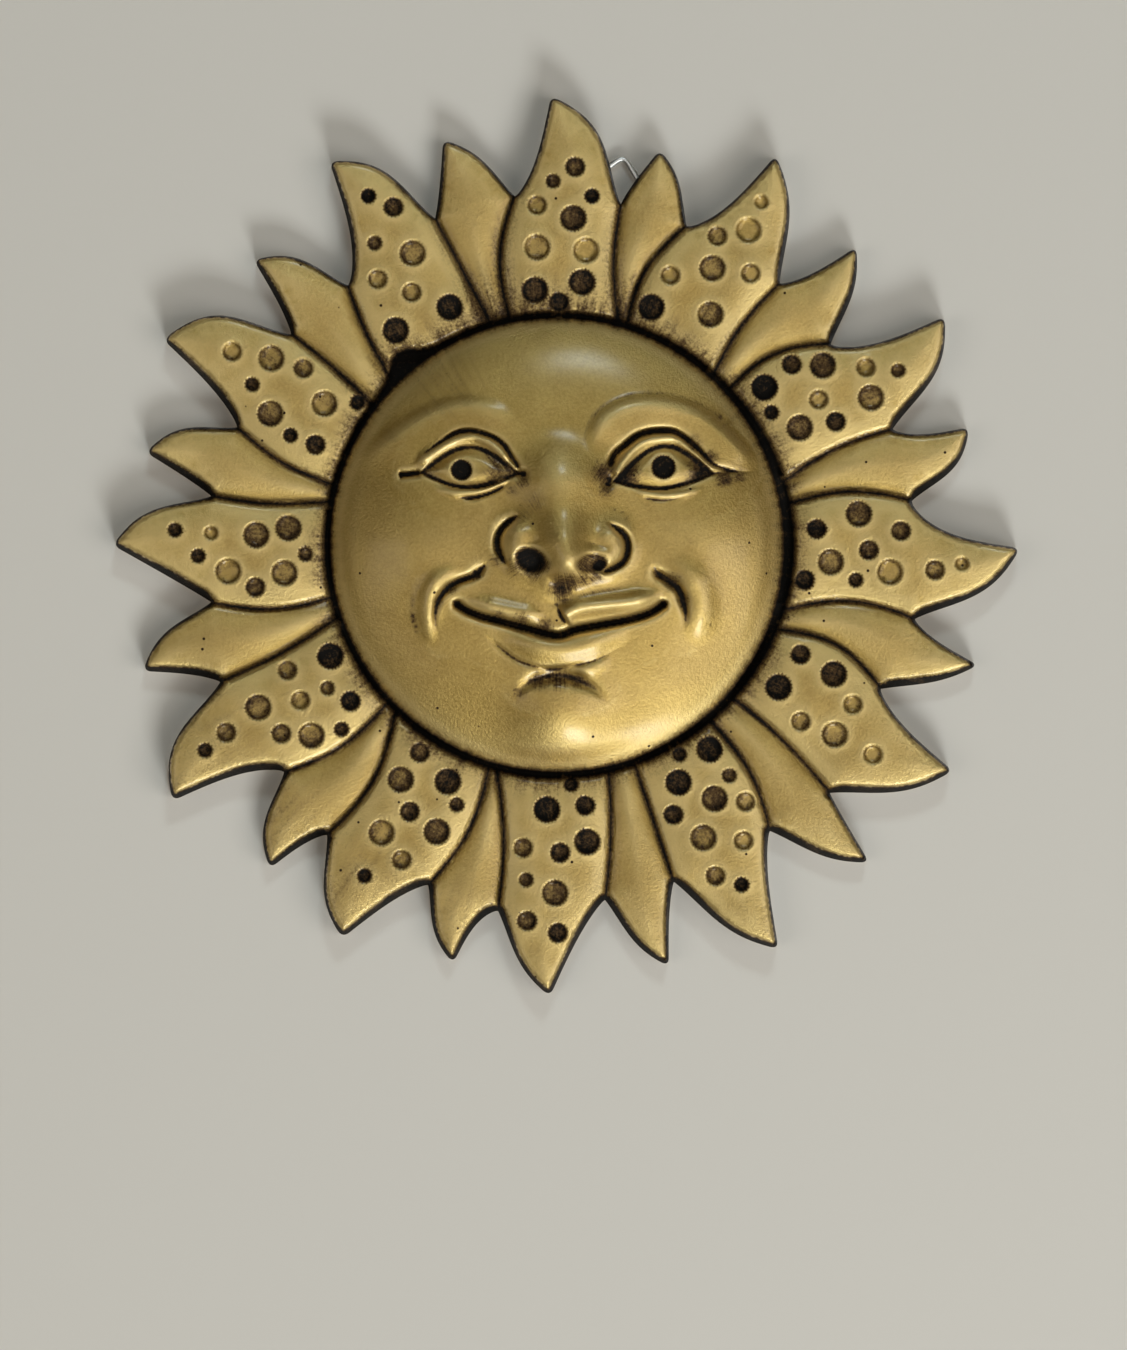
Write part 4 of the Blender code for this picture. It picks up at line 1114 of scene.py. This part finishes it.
def makePale():
    material, tree, shader, _ = newMaterial("pale room")
    feed(tree, shader, {"Base Color": room["pale"], "Roughness": 0.9})
    unseen = calculate(tree, "MAXIMUM", addNode(tree, "ShaderNodeNewGeometry").outputs["Backfacing"],
                       addNode(tree, "ShaderNodeLightPath").outputs["Is Shadow Ray"])
    clear = addNode(tree, "ShaderNodeBsdfTransparent").outputs[0]
    mixed = addNode(tree, "ShaderNodeMixShader", {0: unseen, 1: shader.outputs[0], 2: clear})
    tree.links.new(mixed.outputs[0], tree.nodes["Material Output"].inputs["Surface"])
    return material


def makeRoom():
    half, back, low = room["half"], room["wallBehind"], room["floorBelow"]
    wall = (-half, back, -half), (half, back, -half), (half, back, half), (-half, back, half)
    ground = (-half, -half, low), (half, -half, low), (half, back, low), (-half, back, low)
    pale = makePale()
    for name, corners in (("pale_wall", wall), ("pale_floor", ground)):
        plane = makeObject(name, corners, [(0, 1, 2, 3)])
        plane.data.materials.append(pale)


makeRoom()

camera = {
    "place": (0.00102, -2.000, -0.0203), "target": (0.00102, 0, -0.0203),
    "fieldHeight": 211.0, "fieldDistance": 2000.0,
}
lights = (
    # name, place, aims at, width, height, watts, colour
    ("lower window", (0.34, -0.74, -1.00), (0, 0, 0), 0.44, 0.32, 7.5, (0.95, 1.0, 1.0)),
    ("upper window", (0.09, -0.70, 0.60), (0, 0, 0), 0.17, 0.12, 1.1, (0.80, 0.95, 1.0)),
    ("front fill", (0.2, -2.4, -0.15), (0, 0, 0), 1.6, 1.4, 3.8, (1.0, 0.97, 0.92)),
    ("left fill", (-1.1, -1.4, -0.25), (0, 0, 0), 0.9, 0.9, 3.0, (1.0, 0.97, 0.92)),
    ("right window", (0.95, -1.2, -0.35), (0, 0, 0), 0.9, 0.9, 6.2, (1.0, 0.97, 0.92)),
    ("back fill", (0.35, 1.8, 0.35), (0, 0, 0), 1.0, 1.0, 12.0, (1.0, 0.98, 0.95)),
)


# Puts a thing at a place and turns its -Z axis, along which it looks or shines, to a target.
def aim(thing, place, target):
    thing.location = place
    thing.rotation_euler = (Vector(target) - Vector(place)).to_track_quat("-Z", "Y").to_euler()


def makeCamera():
    data = bpy.data.cameras.new("camera")
    data.lens = data.sensor_width / 2 * camera["fieldDistance"] / (camera["fieldHeight"] / 2)
    data.clip_start = 0.01
    thing = bpy.data.objects.new("camera", data)
    bpy.context.scene.collection.objects.link(thing)
    aim(thing, camera["place"], camera["target"])
    bpy.context.scene.camera = thing


def makeLights():
    for name, place, target, width, height, watts, colour in lights:
        data = bpy.data.lights.new(name, "AREA")
        data.shape, data.size, data.size_y = "RECTANGLE", width, height
        data.energy, data.color = watts, colour
        thing = bpy.data.objects.new(name, data)
        thing.visible_camera = False
        bpy.context.scene.collection.objects.link(thing)
        aim(thing, place, target)
    world = bpy.data.worlds.new("pale room air")
    world.use_nodes = True
    tree = world.node_tree
    seen = addNode(tree, "ShaderNodeLightPath").outputs["Is Camera Ray"]
    feed(tree, tree.nodes["Background"], {"Color": mixColours(tree, seen, room["air"], room["seenAir"])})
    bpy.context.scene.world = world
    bpy.context.scene.view_settings.view_transform = "Standard"


makeCamera()
makeLights()
print("room, camera and lights set")
